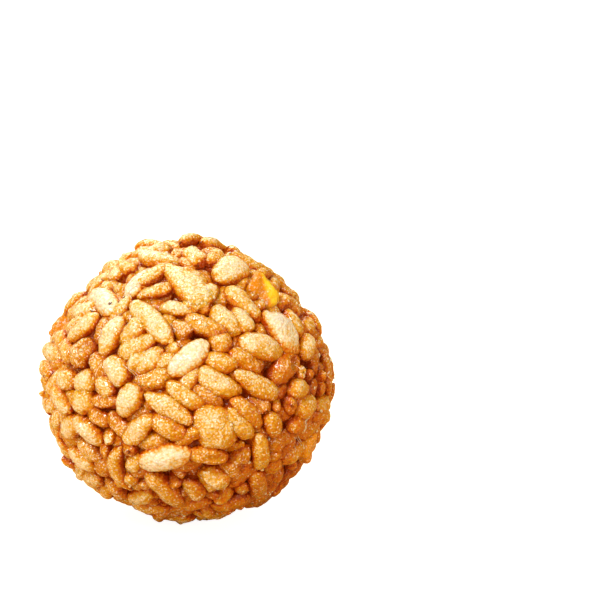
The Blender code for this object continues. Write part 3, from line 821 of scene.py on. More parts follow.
@dataclass
class GrainTraits:
    """What sets each grain apart from the others, as columns with one row a grain."""

    point: np.ndarray
    taper: np.ndarray
    waist: np.ndarray
    bend: np.ndarray
    groove: np.ndarray
    lumps: np.ndarray
    ragged: np.ndarray
    cup: np.ndarray
    seam: np.ndarray
    phase: np.ndarray
    arch: np.ndarray
    slip: np.ndarray

    @classmethod
    def drawn(cls, forms: Sequence[Form], rng: np.random.Generator) -> GrainTraits:
        """Draw the traits of each grain around those of its form.

        Args:
            forms: the form of each grain.
            rng: where the draws come from.

        Returns:
            The traits.
        """
        count = (len(forms), 1)

        def column(name: str) -> np.ndarray:
            """One trait of each grain's form, as a column."""
            return np.array([[getattr(form.value, name)] for form in forms])

        return cls(
            point=column("point") * rng.uniform(0.9, 1.15, count),
            taper=column("taper") + rng.normal(0.0, 0.09, count),
            waist=column("waist") * rng.uniform(0.4, 1.3, count),
            bend=column("bend") + rng.normal(0.0, 0.07, count) * column("lumps"),
            groove=column("groove") * rng.uniform(0.3, 1.4, count),
            lumps=column("lumps") * rng.uniform(0.75, 1.25, count),
            ragged=column("ragged") * rng.uniform(0.3, 1.3, count),
            cup=column("cup"),
            seam=math.pi / 2 + rng.normal(0.0, 0.6, count),
            phase=rng.uniform(0.0, 2 * math.pi, count),
            arch=rng.uniform(0.0, 0.22, count),
            slip=rng.uniform(0.0, 30.0 * MM, (len(forms), 1, 3)),
        )

    def of(self, rows: np.ndarray) -> GrainTraits:
        """The traits of some of the grains."""
        return GrainTraits(**{name: value[rows] for name, value in vars(self).items()})


@dataclass(frozen=True)
class GrainSkin:
    """The skin of a puffed grain: swollen, creased, granular, and torn at a tip."""

    ball: BallForm
    noise: LatticeNoise
    plumpness: float = 1.13  # how much wider than the simple grain that stands for it
    fullness: float = 2.4  # exponent that keeps a grain full until near its tips
    swell_size: float = 2.6 * MM
    swell: float = 0.19 * MM
    blister_size: float = 1.15 * MM
    blister: float = 0.11 * MM
    granule_size: float = 0.48 * MM
    granule: float = 0.075 * MM
    tear_size: float = 0.8 * MM
    tear: float = 0.5 * MM
    torn_from: float = 0.55  # where along a grain its far tip starts to be torn
    waist_reach: float = 0.3  # how far a waist spreads along a grain
    crease_reach: float = 0.34  # radians to each side of the seam
    seam_wander: float = 0.3  # radians that the seam strays, tip to tip
    usual_half_width: float = 1.5 * MM  # relief is at its full height on a grain this wide
    cup_place: float = 0.42  # middle of a burst hollow, in half lengths from the grain's
    cup_length: float = 0.46  # of the hollow, in the grain's widths
    cup_width: float = 0.34
    cup_rim: float = 0.16  # height of the rim round it, as a share of its depth

    def points(self, layer: GrainLayer, traits: GrainTraits, net: SpindleNet) -> np.ndarray:
        """Where the skins' vertices lie.

        Args:
            layer: the grains.
            traits: what sets each apart.
            net: the net that the skins are made on.

        Returns:
            Places in metres, by grain and vertex.
        """
        span, turn = net.span[None], net.turn[None]
        half_length = layer.lengths[:, None] / 2
        half_width = layer.widths[:, None] / 2 * self.plumpness
        half_depth = layer.thicknesses[:, None] / 2 * self.plumpness
        girth = np.maximum(1.0 - np.abs(span) ** self.fullness, 0.0) ** traits.point
        girth = girth * (1.0 + traits.taper * span)
        girth = girth * (1.0 - traits.waist * np.exp(-((span / self.waist_reach) ** 2)))
        seam = traits.seam + self.seam_wander * np.sin(2.4 * span + traits.phase)
        beside = (turn - seam + math.pi) % (2 * math.pi) - math.pi
        crease = np.exp(-((beside / self.crease_reach) ** 2))
        crease = crease * np.sqrt(np.maximum(1.0 - span**4, 0.0))
        girth = girth * (1.0 - traits.groove * crease)
        x = half_length * span
        y = half_width * girth * np.cos(turn) + traits.bend * half_length * (span**2 - 0.4)
        z = half_depth * girth * np.sin(turn) - traits.arch * half_depth * span**2
        z = z - half_depth * (1.0 - 1.0 / self.plumpness)  # the crown stays where it was
        local = np.stack(np.broadcast_arrays(x, y, z), axis=-1)
        normal = unit(np.stack(np.broadcast_arrays(
            x / half_length**2, girth * np.cos(turn) / half_width,
            girth * np.sin(turn) / half_depth,
        ), axis=-1) + 1e-9)
        size = np.minimum(half_width / self.usual_half_width, 1.4)
        local = local + normal * (self._relief(local + traits.slip, span, traits) * size)[..., None]
        local = self._hollowed(local, traits, layer)
        return self._in_place(local, layer)

    def _relief(self, place: np.ndarray, span: np.ndarray, traits: GrainTraits) -> np.ndarray:
        """How far the skin stands out: broad swellings, blisters, granules and torn tips.

        Args:
            place: where the noise is read, by grain and vertex.
            span: how far along the grain each vertex is, from -1 to 1.
            traits: what sets each grain apart.

        Returns:
            Metres outward, by grain and vertex.
        """
        relief = self.swell * self.noise.at(place, self.swell_size)
        relief = relief + self.blister * self.noise.at(place + 9 * MM, self.blister_size)
        relief = relief * traits.lumps
        relief = relief + self.granule * self.noise.at(place, self.granule_size)
        torn = traits.ragged * smooth_step(self.torn_from, 1.0, span)
        return relief + torn * self.tear * self.noise.at(place + 17 * MM, self.tear_size)

    def _hollowed(
        self, local: np.ndarray, traits: GrainTraits, layer: GrainLayer
    ) -> np.ndarray:
        """Press a hollow with a raised rim into the grains that burst open.

        Args:
            local: places in each grain's own frame.
            traits: what sets each apart.
            layer: the grains.

        Returns:
            The places after it.
        """
        half_length = layer.lengths[:, None] / 2
        width = layer.widths[:, None]
        across = (local[..., 0] - self.cup_place * half_length) / (self.cup_length * width)
        beside = local[..., 1] / (self.cup_width * width)
        out = np.sqrt(across**2 + beside**2)
        facing = smooth_step(-0.1, 0.25, local[..., 2] / width)
        hollow = 1.0 - smooth_step(0.35, 0.95, out)
        rim = self.cup_rim * np.exp(-(((out - 1.05) / 0.22) ** 2))
        push = traits.cup * width * facing * (rim - hollow)
        local[..., 2] += push
        return local

    def _in_place(self, local: np.ndarray, layer: GrainLayer) -> np.ndarray:
        """Turn and move the grains to where they lie, flat where the ball rests.

        Args:
            local: places in each grain's own frame.
            layer: the grains.

        Returns:
            Places in the ball's frame, in metres.
        """
        outward = unit(layer.centres - self.ball.middle)
        sideways = unit(np.cross(outward, layer.axes))
        upward = np.cross(layer.axes, sideways)
        world = (
            local[..., 0:1] * layer.axes[:, None] + local[..., 1:2] * sideways[:, None]
            + local[..., 2:3] * upward[:, None] + layer.centres[:, None]
        )
        world[..., 2] = np.maximum(world[..., 2], 0.0)
        return world


@dataclass(frozen=True)
class SyrupAndPaintedShade:
    """Syrup pooled low between the grains and where they touch, and painted shade there and on the
    sides away from the key light.
    """

    ball: BallForm
    reach: float = 0.6 * MM  # how far from a neighbour the syrup and its painted shade reach
    deep: float = 3.4 * MM  # depth below the crowns where syrup and painted shade fill everything
    margin: float = 0.3 * MM  # how far above the crowns that depth is measured from
    low: float = 0.62  # syrup and painted shade down between the grains
    touch: float = 0.36  # syrup and painted shade where they touch
    flank: float = 0.55  # painted shade on a grain's sides, with the syrup that clings there where nothing rubbed it thin
    under: float = 0.34  # painted shade on the side of each grain that faces away from the key light
    painted_shade_side: tuple[float, ...] = (0.75, -0.45, -0.48)  # painted shade leans to this side, lower right and away from the key light
    painted_shade_side_share: float = 0.10  # painted shade that this side of the ball has more than the other
    neighbours: int = 14

    def at(
        self, points: np.ndarray, normals: np.ndarray, layer: GrainLayer, around: GrainLayer
    ) -> np.ndarray:
        """How much syrup and painted shade lie on the grains' skins.

        Args:
            points: places on the skins, by grain and vertex.
            normals: the skins' normals there.
            layer: the grains that the skins belong to.
            around: every grain that may touch them, those of the layer among them.

        Returns:
            Shares from 0 to 1, by grain and vertex.
        """
        # Painted shade with the syrup: deeper below the crowns and nearer a neighbour is darker.
        depth = np.clip((self.ball.depth(points) + self.margin) / self.deep, 0.0, 1.2)
        beads, radii = around.beads(), around.bead_radii()
        contact = np.zeros(points.shape[:2])
        for row, skin in enumerate(points):
            apart = around.centres - layer.centres[row]
            distance = (apart * apart).sum(axis=1)
            distance[distance < (0.01 * MM) ** 2] = np.inf
            near = np.argsort(distance)[:self.neighbours]
            spots, sizes = beads[near].reshape(-1, 3), radii[near].reshape(-1)
            gap = skin[:, None] - spots[None]
            gap = np.sqrt((gap * gap).sum(axis=2)) - sizes[None]
            nearest = np.maximum(gap, 0.0).min(axis=1)
            contact[row] = np.exp(-nearest / self.reach)
        # Painted shade: darker on the grains' sides, on the ball's side away from the key light, and
        # on each grain's side that faces away from it.
        outward = unit(points - self.ball.middle)
        downhill = unit(np.array(self.painted_shade_side))
        steep = 1.0 - np.clip(along(normals, outward), 0.0, 1.0)[..., 0]
        flank = self.flank * smooth_step(0.04, 0.80, steep)
        painted_shade_side_share = self.painted_shade_side_share * smooth_step(0.0, 0.95, along(outward, downhill)[..., 0])
        under = self.under * smooth_step(0.15, 0.95, along(normals, downhill)[..., 0])
        syrup_and_shade = self.low * depth**1.2 + self.touch * contact * (0.35 + depth) + flank
        return np.clip(syrup_and_shade + (painted_shade_side_share + under), 0.0, 1.0)


# ---------------------------------------------------------------- finishes


class Nodes:
    """A node tree, with one function that adds a node, sets it and links it."""

    FILM_CLEARS = 0.34  # how much the syrup film, with its painted shade, takes from the pale specks
    CRYSTAL_EDGE = (0.48, 0.60)  # noise values where a crystal starts and is full
    # Pale specks stand for sugar crystals and painted glints.
    CRYSTAL_AND_GLINT_WHITE = "#FFF3DC"

    def __init__(self, owner: bpy.types.Material | bpy.types.World) -> None:
        """Start with an empty tree.

        Args:
            owner: the new material or world that the tree is for.
        """
        owner.use_nodes = True
        self.tree = owner.node_tree
        self.tree.nodes.clear()

    def add(self, kind: str, settings: dict | None = None, **inputs: object) -> bpy.types.Node:
        """Add a node.

        Args:
            kind: the node's type, without ShaderNode before it.
            settings: properties of the node to set, and as stops the places and hex colours
                of a colour ramp.
            inputs: a value or another node's output for each input, by its name with
                underscores for spaces, or by in0, in1 and so on for its number.

        Returns:
            The node.
        """
        node = self.tree.nodes.new("ShaderNode" + kind)
        for name, value in (settings or {}).items():
            if name == "stops":
                self._colour(node.color_ramp.elements, value)
            else:
                setattr(node, name, value)
        for name, value in inputs.items():
            numbered = name[:2] == "in" and name[2:].isdigit()
            key = int(name[2:]) if numbered else name.replace("_", " ")
            if isinstance(value, bpy.types.NodeSocket):
                self.tree.links.new(value, node.inputs[key])
            else:
                node.inputs[key].default_value = value
        return node

    @staticmethod
    def _colour(elements: bpy.types.ColorRampElements, stops: Sequence[tuple[float, str]]) -> None:
        """Put colours along a ramp.

        Args:
            elements: the ramp's stops.
            stops: place and hex colour of each, in order.
        """
        while len(elements) < len(stops):
            elements.new(0.5)
        for element, (place, colour) in zip(elements, stops):
            element.position = place
            element.color = linear(colour)

    def crystals_and_painted_glints(
        self, place: bpy.types.NodeSocket, size: float, share: float,
        film: bpy.types.NodeSocket, colour: bpy.types.NodeSocket,
    ) -> bpy.types.NodeSocket:
        """Strew a colour with tiny pale specks: crystals of syrup that grained as it dried, and
        painted glints.

        Args:
            place: where on the surface.
            size: of one crystal in metres, drawn coarser than the real ones so that it shows.
            share: how much of the colour a crystal hides.
            film: how much syrup and painted shade is there; the specks fade where it is high,
                because a thick film stayed clear.
            colour: the colour below.

        Returns:
            The colour.
        """
        specks = self.add(
            "TexNoise", None, Vector=place, Scale=1 / size, Detail=0.0,
        ).outputs["Fac"]
        dry = self.add(
            "Math", {"operation": "MULTIPLY_ADD"}, in0=film, in1=-self.FILM_CLEARS, in2=specks,
        ).outputs[0]
        start, full = self.CRYSTAL_EDGE
        crystal = self.add(
            "MapRange", None, Value=dry, From_Min=start, From_Max=full, To_Max=share,
        ).outputs[0]
        # Painted glints: near-white specks mixed into the colour, fewer where the film is high.
        white = linear(self.CRYSTAL_AND_GLINT_WHITE)
        return self.add(
            "Mix", {"data_type": "RGBA"}, in0=crystal, in6=colour, in7=white,
        ).outputs[2]

    def facets(
        self, place: bpy.types.NodeSocket, size: float, tilt: float, normal: bpy.types.NodeSocket
    ) -> bpy.types.NodeSocket:
        """Turn a normal at random on small facets, each of which may glint.

        Args:
            place: where on the surface.
            size: of one facet in metres.
            tilt: how far one may turn, as a slope.
            normal: the normal that they turn from.

        Returns:
            The normal.
        """
        cells = self.add("TexVoronoi", None, Vector=place, Scale=1 / size).outputs["Color"]
        turned = self.add("VectorMath", {"operation": "SUBTRACT"}, in0=cells, in1=(0.5, 0.5, 0.5))
        turned = self.add(
            "VectorMath", {"operation": "SCALE"}, in0=turned.outputs[0], Scale=2 * tilt
        )
        turned = self.add("VectorMath", {"operation": "ADD"}, in0=turned.outputs[0], in1=normal)
        return self.add(
            "VectorMath", {"operation": "NORMALIZE"}, in0=turned.outputs[0]
        ).outputs[0]


@dataclass(frozen=True)
class PuffedRiceFinish:
    """Rice puffed in hot sand or steam and tossed in boiled syrup.

    The starch foam scatters light below its skin, so a grain glows a little, and its thin dried
    syrup coat gives small wet glints on a granular skin. Where syrup pooled it goes amber, then
    red-brown as the layer thickens, and the same colours paint the shade in the gaps, on the
    grains' sides and away from the key light. Pale specks in the colour stand for sugar crystals
    and painted glints. The real foam and grit are finer than a millimetre's tenth, and they are
    drawn coarser here so that they show.
    """

    name: str
    bright: str  # the driest skin
    body: str  # most of the grain
    soaked: str  # patches that took up more syrup
    pooled: str = "#D9780F"  # a film of syrup, and painted shade in the gaps and on shaded sides
    thick: str = "#6E2203"  # syrup as thick as a grain, and the deepest painted shade
    coat: float = 1.0  # how wet it looks
    stops: tuple[float, ...] = (0.0, 0.26, 0.50, 0.73, 1.0)  # film at which each colour is full
    patch: float = 1.9 * MM  # patches that took up more or less syrup
    bubble: float = 0.46 * MM  # cells of the starch foam
    bubble_depth: float = 0.26 * MM
    grit: float = 0.26 * MM  # grains of the skin between the cells
    grit_depth: float = 0.12 * MM
    bead: float = 0.36 * MM  # beads that the syrup dried in
    bead_depth: float = 0.12 * MM
    facet: float = 0.42 * MM  # flat spots of the dried syrup
    facet_tilt: float = 0.40
    # Pale specks that stand for sugar crystals and painted glints:
    glint_speck_size: float = 0.28 * MM
    glint_speck_share: float = 0.58
    tint_share: float = 0.22  # how far whole grains differ
    patch_share: float = 0.6
    bubble_share: float = 0.58
    relief: float = 0.9
    roughness: float = 0.36  # of the skin, and of the film on it where that is thick
    film_roughness: float = 0.30

    def make(self) -> bpy.types.Material:
        """Make the material.

        Returns:
            The material, which reads the mesh's "syrup" and "tint".
        """
        material = bpy.data.materials.new(self.name)
        nodes = Nodes(material)
        place = nodes.add("TexCoord").outputs["Object"]
        patches = nodes.add(
            "TexNoise", None, Vector=place, Scale=1 / self.patch, Detail=2.0, Roughness=0.55,
        ).outputs["Fac"]
        bubbles = nodes.add(
            "TexVoronoi", {"feature": "SMOOTH_F1"}, Vector=place, Scale=1 / self.bubble,
            Smoothness=0.25,
        ).outputs["Distance"]
        grit = nodes.add(
            "TexNoise", None, Vector=place, Scale=1 / self.grit, Detail=1.0,
        ).outputs["Fac"]
        # The "syrup" attribute holds the syrup film and painted shade, and the ramp turns both into
        # colour.
        film = nodes.add("Attribute", {"attribute_name": "syrup"}).outputs["Fac"]
        tint = nodes.add("Attribute", {"attribute_name": "tint"}).outputs["Fac"]
        uneven = ((tint, self.tint_share), (patches, self.patch_share), (bubbles, self.bubble_share))
        for share, strength in uneven:
            film = nodes.add(
                "Math", {"operation": "SUBTRACT"}, in0=film, in1=strength / 2
            ).outputs[0]
            film = nodes.add(
                "Math", {"operation": "MULTIPLY_ADD"}, in0=share, in1=strength, in2=film
            ).outputs[0]
        colours = (self.bright, self.body, self.soaked, self.pooled, self.thick)
        colour = nodes.add("ValToRGB", {"stops": tuple(zip(self.stops, colours))}, Fac=film)
        # Pale specks in the colour: sugar crystals and painted glints.
        colour = nodes.crystals_and_painted_glints(
            place, self.glint_speck_size, self.glint_speck_share, film, colour.outputs["Color"]
        )
        coarse = nodes.add(
            "Bump", {"invert": True}, Strength=self.relief, Distance=self.bubble_depth,
            Height=bubbles,
        ).outputs["Normal"]
        fine = nodes.add(
            "Bump", None, Strength=self.relief, Distance=self.grit_depth, Height=grit,
            Normal=coarse,
        ).outputs["Normal"]
        beads = nodes.add(
            "TexNoise", None, Vector=place, Scale=1 / self.bead, Detail=1.0, Roughness=0.4,
        ).outputs["Fac"]
        wet = nodes.add(
            "Bump", None, Strength=1.0, Distance=self.bead_depth, Height=beads,
        ).outputs["Normal"]
        wet = nodes.facets(place, self.facet, self.facet_tilt, wet)
        gloss = nodes.add(
            "MapRange", None, Value=film, From_Min=0.0, From_Max=0.8,
            To_Min=self.roughness, To_Max=self.film_roughness,
        ).outputs[0]
        shader = nodes.add(
            "BsdfPrincipled", {"subsurface_method": "RANDOM_WALK"}, Base_Color=colour,
            Roughness=gloss, IOR=1.45, Specular_IOR_Level=0.08, Normal=fine,
            Subsurface_Weight=0.35, Subsurface_Radius=(1.0, 0.5, 0.2),
            Subsurface_Scale=0.7 * MM, Coat_Weight=self.coat, Coat_Roughness=0.05, Coat_IOR=1.6,
            Coat_Normal=wet,
        )
        nodes.add("OutputMaterial", None, Surface=shader.outputs["BSDF"])
        return material


GRAIN_FINISHES = {
    # Missed by most of the syrup: nearly white, with a thin gloss.
    Tone.PALE: PuffedRiceFinish(
        "puffed_rice_dry", "#F6E8D0", "#F1DAAE", "#E6B250", pooled="#E07E02", thick="#B23E00",
    ),
    # A thin even coat: cream on top and gold in the hollows.
    Tone.CREAM: PuffedRiceFinish(
        "puffed_rice_light_syrup", "#ECCB8E", "#E1A72C", "#D68B08", pooled="#D87500",
        thick="#AA3A00",
    ),
    # A full coat: golden all over.
    Tone.GOLDEN: PuffedRiceFinish(
        "puffed_rice_golden_syrup", "#E5B95E", "#DA970E", "#CE7B00", pooled="#CE6600",
        thick="#A23400",
    ),
    # Soaked through: amber, and the clearest of them.
    Tone.AMBER: PuffedRiceFinish(
        "puffed_rice_soaked", "#DEA02A", "#D08404", "#C46C00", pooled="#C45C00",
        thick="#982E00",
    ),
}
# Grains that lie in syrup deep in the gaps: burnt orange to red-brown, half wet, darkened for the
# syrup and for painted shade.
INNER_FINISH = PuffedRiceFinish(
    "puffed_rice_in_syrup", "#D88010", "#C46400", "#AE4800", pooled="#943000",
    thick="#6E1800", coat=0.5,
)
# Broken grain, with its dry foam outside: pale and less glossy.
CRUMB_FINISH = PuffedRiceFinish(
    "puffed_rice_crumb", "#F6DCAE", "#F0C888", "#E0A050", coat=0.4, roughness=0.4,
)
# Bran and husk that caught the heat: nearly black, and dull.
TOASTED_FINISH = PuffedRiceFinish(
    "toasted_bran", "#6B3A1C", "#3F1D0E", "#240D06", pooled="#2A0F05", thick="#180602",
    coat=0.3, roughness=0.4,
)
# Syrup pulled until it holds fine air: pale, silky and smooth.
THREAD_FINISH = PuffedRiceFinish(
    "pulled_syrup", "#F0CC98", "#E4A868", "#D08A48", coat=0.8, roughness=0.25,
)


@dataclass(frozen=True)
class SetSyrupFinish:
    """Sugar syrup boiled to a soft set, wet: clear amber where thin, red-brown where thick and deep
    in the gaps, for thicker syrup and painted shade.
    """

    name: str = "set_sugar_syrup"
    thin: str = "#CC5A00"
    mid: str = "#963000"
    thick: str = "#5C1200"
    ripple: float = 0.9 * MM
    ripple_depth: float = 0.2 * MM
    ripple_share: float = 0.7  # how much the ripples change the colour
    thin_at: float = 0.6  # millimetres below the crowns
    thick_at: float = 4.2

    def make(self) -> bpy.types.Material:
        """Make the material.

        Returns:
            The material, which reads the mesh's "depth".
        """
        material = bpy.data.materials.new(self.name)
        nodes = Nodes(material)
        place = nodes.add("TexCoord").outputs["Object"]
        depth = nodes.add("Attribute", {"attribute_name": "depth"}).outputs["Fac"]
        share = nodes.add(
            "MapRange", None, Value=depth, From_Min=self.thin_at, From_Max=self.thick_at,
        ).outputs[0]
        ripple = nodes.add(
            "TexNoise", None, Vector=place, Scale=1 / self.ripple, Detail=3.0, Roughness=0.6,
        ).outputs["Fac"]
        uneven = nodes.add(
            "Math", {"operation": "MULTIPLY_ADD"}, in0=ripple, in1=self.ripple_share,
            in2=-self.ripple_share / 2,
        ).outputs[0]
        share = nodes.add(
            "Math", {"operation": "ADD", "use_clamp": True}, in0=share, in1=uneven
        ).outputs[0]
        # Painted shade with the syrup: darker red-brown the deeper below the crowns.
        stops = ((0.0, self.thin), (0.45, self.mid), (1.0, self.thick))
        colour = nodes.add("ValToRGB", {"stops": stops}, Fac=share).outputs["Color"]
        bump = nodes.add(
            "Bump", None, Strength=0.5, Distance=self.ripple_depth, Height=ripple
        )
        shader = nodes.add(
            "BsdfPrincipled", {"subsurface_method": "RANDOM_WALK"}, Base_Color=colour,
            Roughness=0.2, IOR=1.48, Normal=bump.outputs["Normal"], Subsurface_Weight=0.3,
            Subsurface_Radius=(1.0, 0.35, 0.08), Subsurface_Scale=1.2 * MM,
            Specular_IOR_Level=0.2,
        )
        nodes.add("OutputMaterial", None, Surface=shader.outputs["BSDF"])
        return material


@dataclass(frozen=True)
class CandiedPeelFinish:
    """Citrus peel boiled in sugar: glassy and orange, and clear yellow at the cut edge."""

    name: str = "candied_citrus_peel"
    sticky: str = "#DE8600"
    middle: str = "#F4A00C"
    cut: str = "#FFCA1E"
    pore: float = 0.7 * MM  # oil glands
    pore_depth: float = 0.3 * MM
    pore_share: float = 0.8  # how much they change the colour
    # Pale specks that stand for sugar crystals and painted glints:
    glint_speck_size: float = 0.28 * MM
    glint_speck_share: float = 0.4
    facet: float = 0.4 * MM
    facet_tilt: float = 0.7

    def make(self) -> bpy.types.Material:
        """Make the material.

        Returns:
            The material, which reads the mesh's "cut".
        """
        material = bpy.data.materials.new(self.name)
        nodes = Nodes(material)
        place = nodes.add("TexCoord").outputs["Object"]
        cut = nodes.add("Attribute", {"attribute_name": "cut"}).outputs["Fac"]
        pores = nodes.add(
            "TexNoise", None, Vector=place, Scale=1 / self.pore, Detail=3.0, Roughness=0.6,
        ).outputs["Fac"]
        uneven = nodes.add(
            "Math", {"operation": "MULTIPLY_ADD"}, in0=pores, in1=self.pore_share,
            in2=-self.pore_share / 2,
        ).outputs[0]
        share = nodes.add(
            "Math", {"operation": "ADD", "use_clamp": True}, in0=cut, in1=uneven
        ).outputs[0]
        stops = ((0.0, self.sticky), (0.45, self.middle), (0.9, self.cut))
        colour = nodes.add("ValToRGB", {"stops": stops}, Fac=share).outputs["Color"]
        film = nodes.add(
            "Math", {"operation": "MULTIPLY_ADD"}, in0=share, in1=0.5, in2=0.3
        ).outputs[0]
        # Pale specks in the colour: sugar crystals and painted glints.
        colour = nodes.crystals_and_painted_glints(place, self.glint_speck_size, self.glint_speck_share, film, colour)
        bump = nodes.add(
            "Bump", None, Strength=0.8, Distance=self.pore_depth, Height=pores
        ).outputs["Normal"]
        shader = nodes.add(
            "BsdfPrincipled", {"subsurface_method": "RANDOM_WALK"}, Base_Color=colour,
            Roughness=0.35, IOR=1.45, Specular_IOR_Level=0.1, Normal=bump,
            Subsurface_Weight=0.3, Subsurface_Radius=(1.0, 0.6, 0.08),
            Subsurface_Scale=0.9 * MM, Coat_Weight=1.0, Coat_Roughness=0.08, Coat_IOR=1.6,
            Coat_Normal=nodes.facets(place, self.facet, self.facet_tilt, bump),
        )
        nodes.add("OutputMaterial", None, Surface=shader.outputs["BSDF"])
        return material


# ---------------------------------------------------------------- sub-assemblies


@dataclass
class Batch:
    """Grains laid in their places, each with its traits, tone and tint."""

    layer: GrainLayer
    traits: GrainTraits
    tones: list[Tone]
    tints: np.ndarray

    def rows(self, chosen: np.ndarray) -> Batch:
        """Some of the grains, where they lie."""
        tones = [self.tones[row] for row in chosen]
        return Batch(self.layer.rows(chosen), self.traits.of(chosen), tones, self.tints[chosen])


def tones_by_place(
    outward: np.ndarray, shares: Sequence[float], rng: np.random.Generator
) -> list[Tone]:
    """Draw tones for grains, deeper towards the side away from the key light, as painted shade.

    Args:
        outward: direction of each grain from the middle.
        shares: how common each tone is.
        rng: where the draws come from.

    Returns:
        One tone for each grain.
    """
    # Painted shade: grains on the side away from the key light draw deeper tones.
    toward = along(outward, unit(np.array(SyrupAndPaintedShade.painted_shade_side)))[:, 0]
    draw = rng.random(len(outward)) + SHADE_SIDE_TONES * toward
    step = np.searchsorted(np.cumsum(shares), np.clip(draw, 0.0, 0.999))
    return [list(Tone)[n] for n in np.minimum(step, len(Tone) - 1)]


def dressed_piece(
    name: str, part: Batch, around: GrainLayer, noise: LatticeNoise, net: SpindleNet,
    finish: bpy.types.Material,
) -> bpy.types.Object:
    """Build grains as one joined piece, with syrup where it would have run, and painted shade.

    Args:
        name: the piece's name.
        part: its grains.
        around: the grains that may touch them.
        noise: what makes their skins uneven.
        net: the net that the skins are made on.
        finish: the material.

    Returns:
        The piece.
    """
    ball = part.layer.ball
    points = GrainSkin(ball, noise).points(part.layer, part.traits, net)
    piece = make_object(name, points.reshape(-1, 3), net.faces(len(points)))
    normals = normals_of(piece).reshape(points.shape)
    # The "syrup" attribute holds the syrup film and painted shade.
    paint(piece, "syrup", SyrupAndPaintedShade(ball).at(points, normals, part.layer, around))
    paint(piece, "tint", np.repeat(part.tints, points.shape[1]))
    piece.data.materials.append(finish)
    return piece


@dataclass
class OuterGrains:
    """The grains at the outside, pieces by tone for the shown ones and for the loose ones."""

    ball: BallForm
    noise: LatticeNoise
    stand_ins: tuple[np.ndarray, ...]  # what else lies among them
    shown_net: tuple[int, int] = (36, 24)
    loose_net: tuple[int, int] = (24, 18)
    front: float = 0.1  # cosine from the shown face within which no loose grain is pale
    seed: int = 21
    loose_tones: tuple[float, ...] = (0.07, 0.45, 0.36, 0.12)
    loose_forms: tuple[float, ...] = (
        0.30, 0.12, 0.10, 0.08, 0.06, 0.10, 0.09, 0.09, 0.03, 0.03,
    )
    batch: Batch = field(init=False)

    def __post_init__(self) -> None:
        """Lay the grains and draw what each is like."""
        rng = np.random.default_rng(self.seed)
        layer = OuterLayerRule(self.ball).lay(self.stand_ins)
        self._slide(layer)
        loose = len(layer.lengths) - len(SHOWN_GRAINS)
        tones = [row[6] for row in SHOWN_GRAINS]
        forms = [row[7] for row in SHOWN_GRAINS]
        drawn = tones_by_place(layer.outward[-loose:], self.loose_tones, rng)
        facing = along(layer.outward[-loose:], self.ball.face_out)[:, 0] > self.front
        tones += [  # the table has every pale grain of the shown face
            Tone.CREAM if front and tone is Tone.PALE else tone
            for tone, front in zip(drawn, facing)
        ]
        forms += [list(Form)[n] for n in rng.choice(len(Form), loose, p=self.loose_forms)]
        traits = GrainTraits.drawn(forms, rng)
        self.batch = Batch(layer, traits, tones, rng.uniform(0.0, 1.0, len(tones)))

    def _slide(self, layer: GrainLayer) -> None:
        """Move and reshape the grains that shifted after the rest had set.

        Args:
            layer: the outer grains, which are changed in place.
        """
        listed = [grain[:2] for grain in SHOWN_GRAINS]
        for across, up, right, above, out, longer, wider in SLID_GRAINS:
            row = listed.index((across, up))
            over = self.ball.face_right * right + self.ball.face_up * above
            layer.centres[row] += over * MM
            layer.centres[row] += layer.outward[row] * out * MM
            layer.lengths[row] *= longer
            layer.widths[row] *= wider

    def build(self) -> list[bpy.types.Object]:
        """Build and dress the pieces.

        Returns:
            A piece of shown grains and one of loose grains for each tone.
        """
        shown = np.arange(len(self.batch.tones)) < len(SHOWN_GRAINS)
        pieces = []
        for tone in Tone:
            finish = GRAIN_FINISHES[tone].make()
            same = np.array([t is tone for t in self.batch.tones])
            for group, chosen, net in (
                ("shown", same & shown, self.shown_net), ("loose", same & ~shown, self.loose_net),
            ):
                pieces.append(dressed_piece(
                    f"{group}_{tone.value}_grains", self.batch.rows(np.flatnonzero(chosen)),
                    self.batch.layer, self.noise, SpindleNet(*net), finish,
                ))
        return pieces


@dataclass
class FillingGrains:
    """The grains wedged under the outer ones, which show in every gap."""

    ball: BallForm
    noise: LatticeNoise
    outer: Batch
    net: tuple[int, int] = (22, 16)
    seed: int = 9
    tones: tuple[float, ...] = (0.0, 0.22, 0.48, 0.30)
    forms: int = 8  # how many of the forms occur, counted from the first
    batch: Batch = field(init=False)

    def __post_init__(self) -> None:
        """Lay the grains and draw what each is like."""
        rng = np.random.default_rng(self.seed)
        layer = GapRule(self.ball).lay(self.outer.layer)
        count = len(layer.lengths)
        tones = tones_by_place(layer.outward, self.tones, rng)
        forms = [list(Form)[n] for n in rng.choice(self.forms, count)]
        self.batch = Batch(
            layer, GrainTraits.drawn(forms, rng), tones, rng.uniform(0.0, 1.0, count)
        )

    def build(self) -> list[bpy.types.Object]:
        """Build and dress the pieces.

        Returns:
            One piece for each tone that was drawn.
        """
        pieces = []
        for tone in Tone:
            chosen = np.flatnonzero([t is tone for t in self.batch.tones])
            if len(chosen):
                pieces.append(dressed_piece(
                    f"filling_{tone.value}_grains", self.batch.rows(chosen), self.outer.layer,
                    self.noise, SpindleNet(*self.net), GRAIN_FINISHES[tone].make(),
                ))
        return pieces


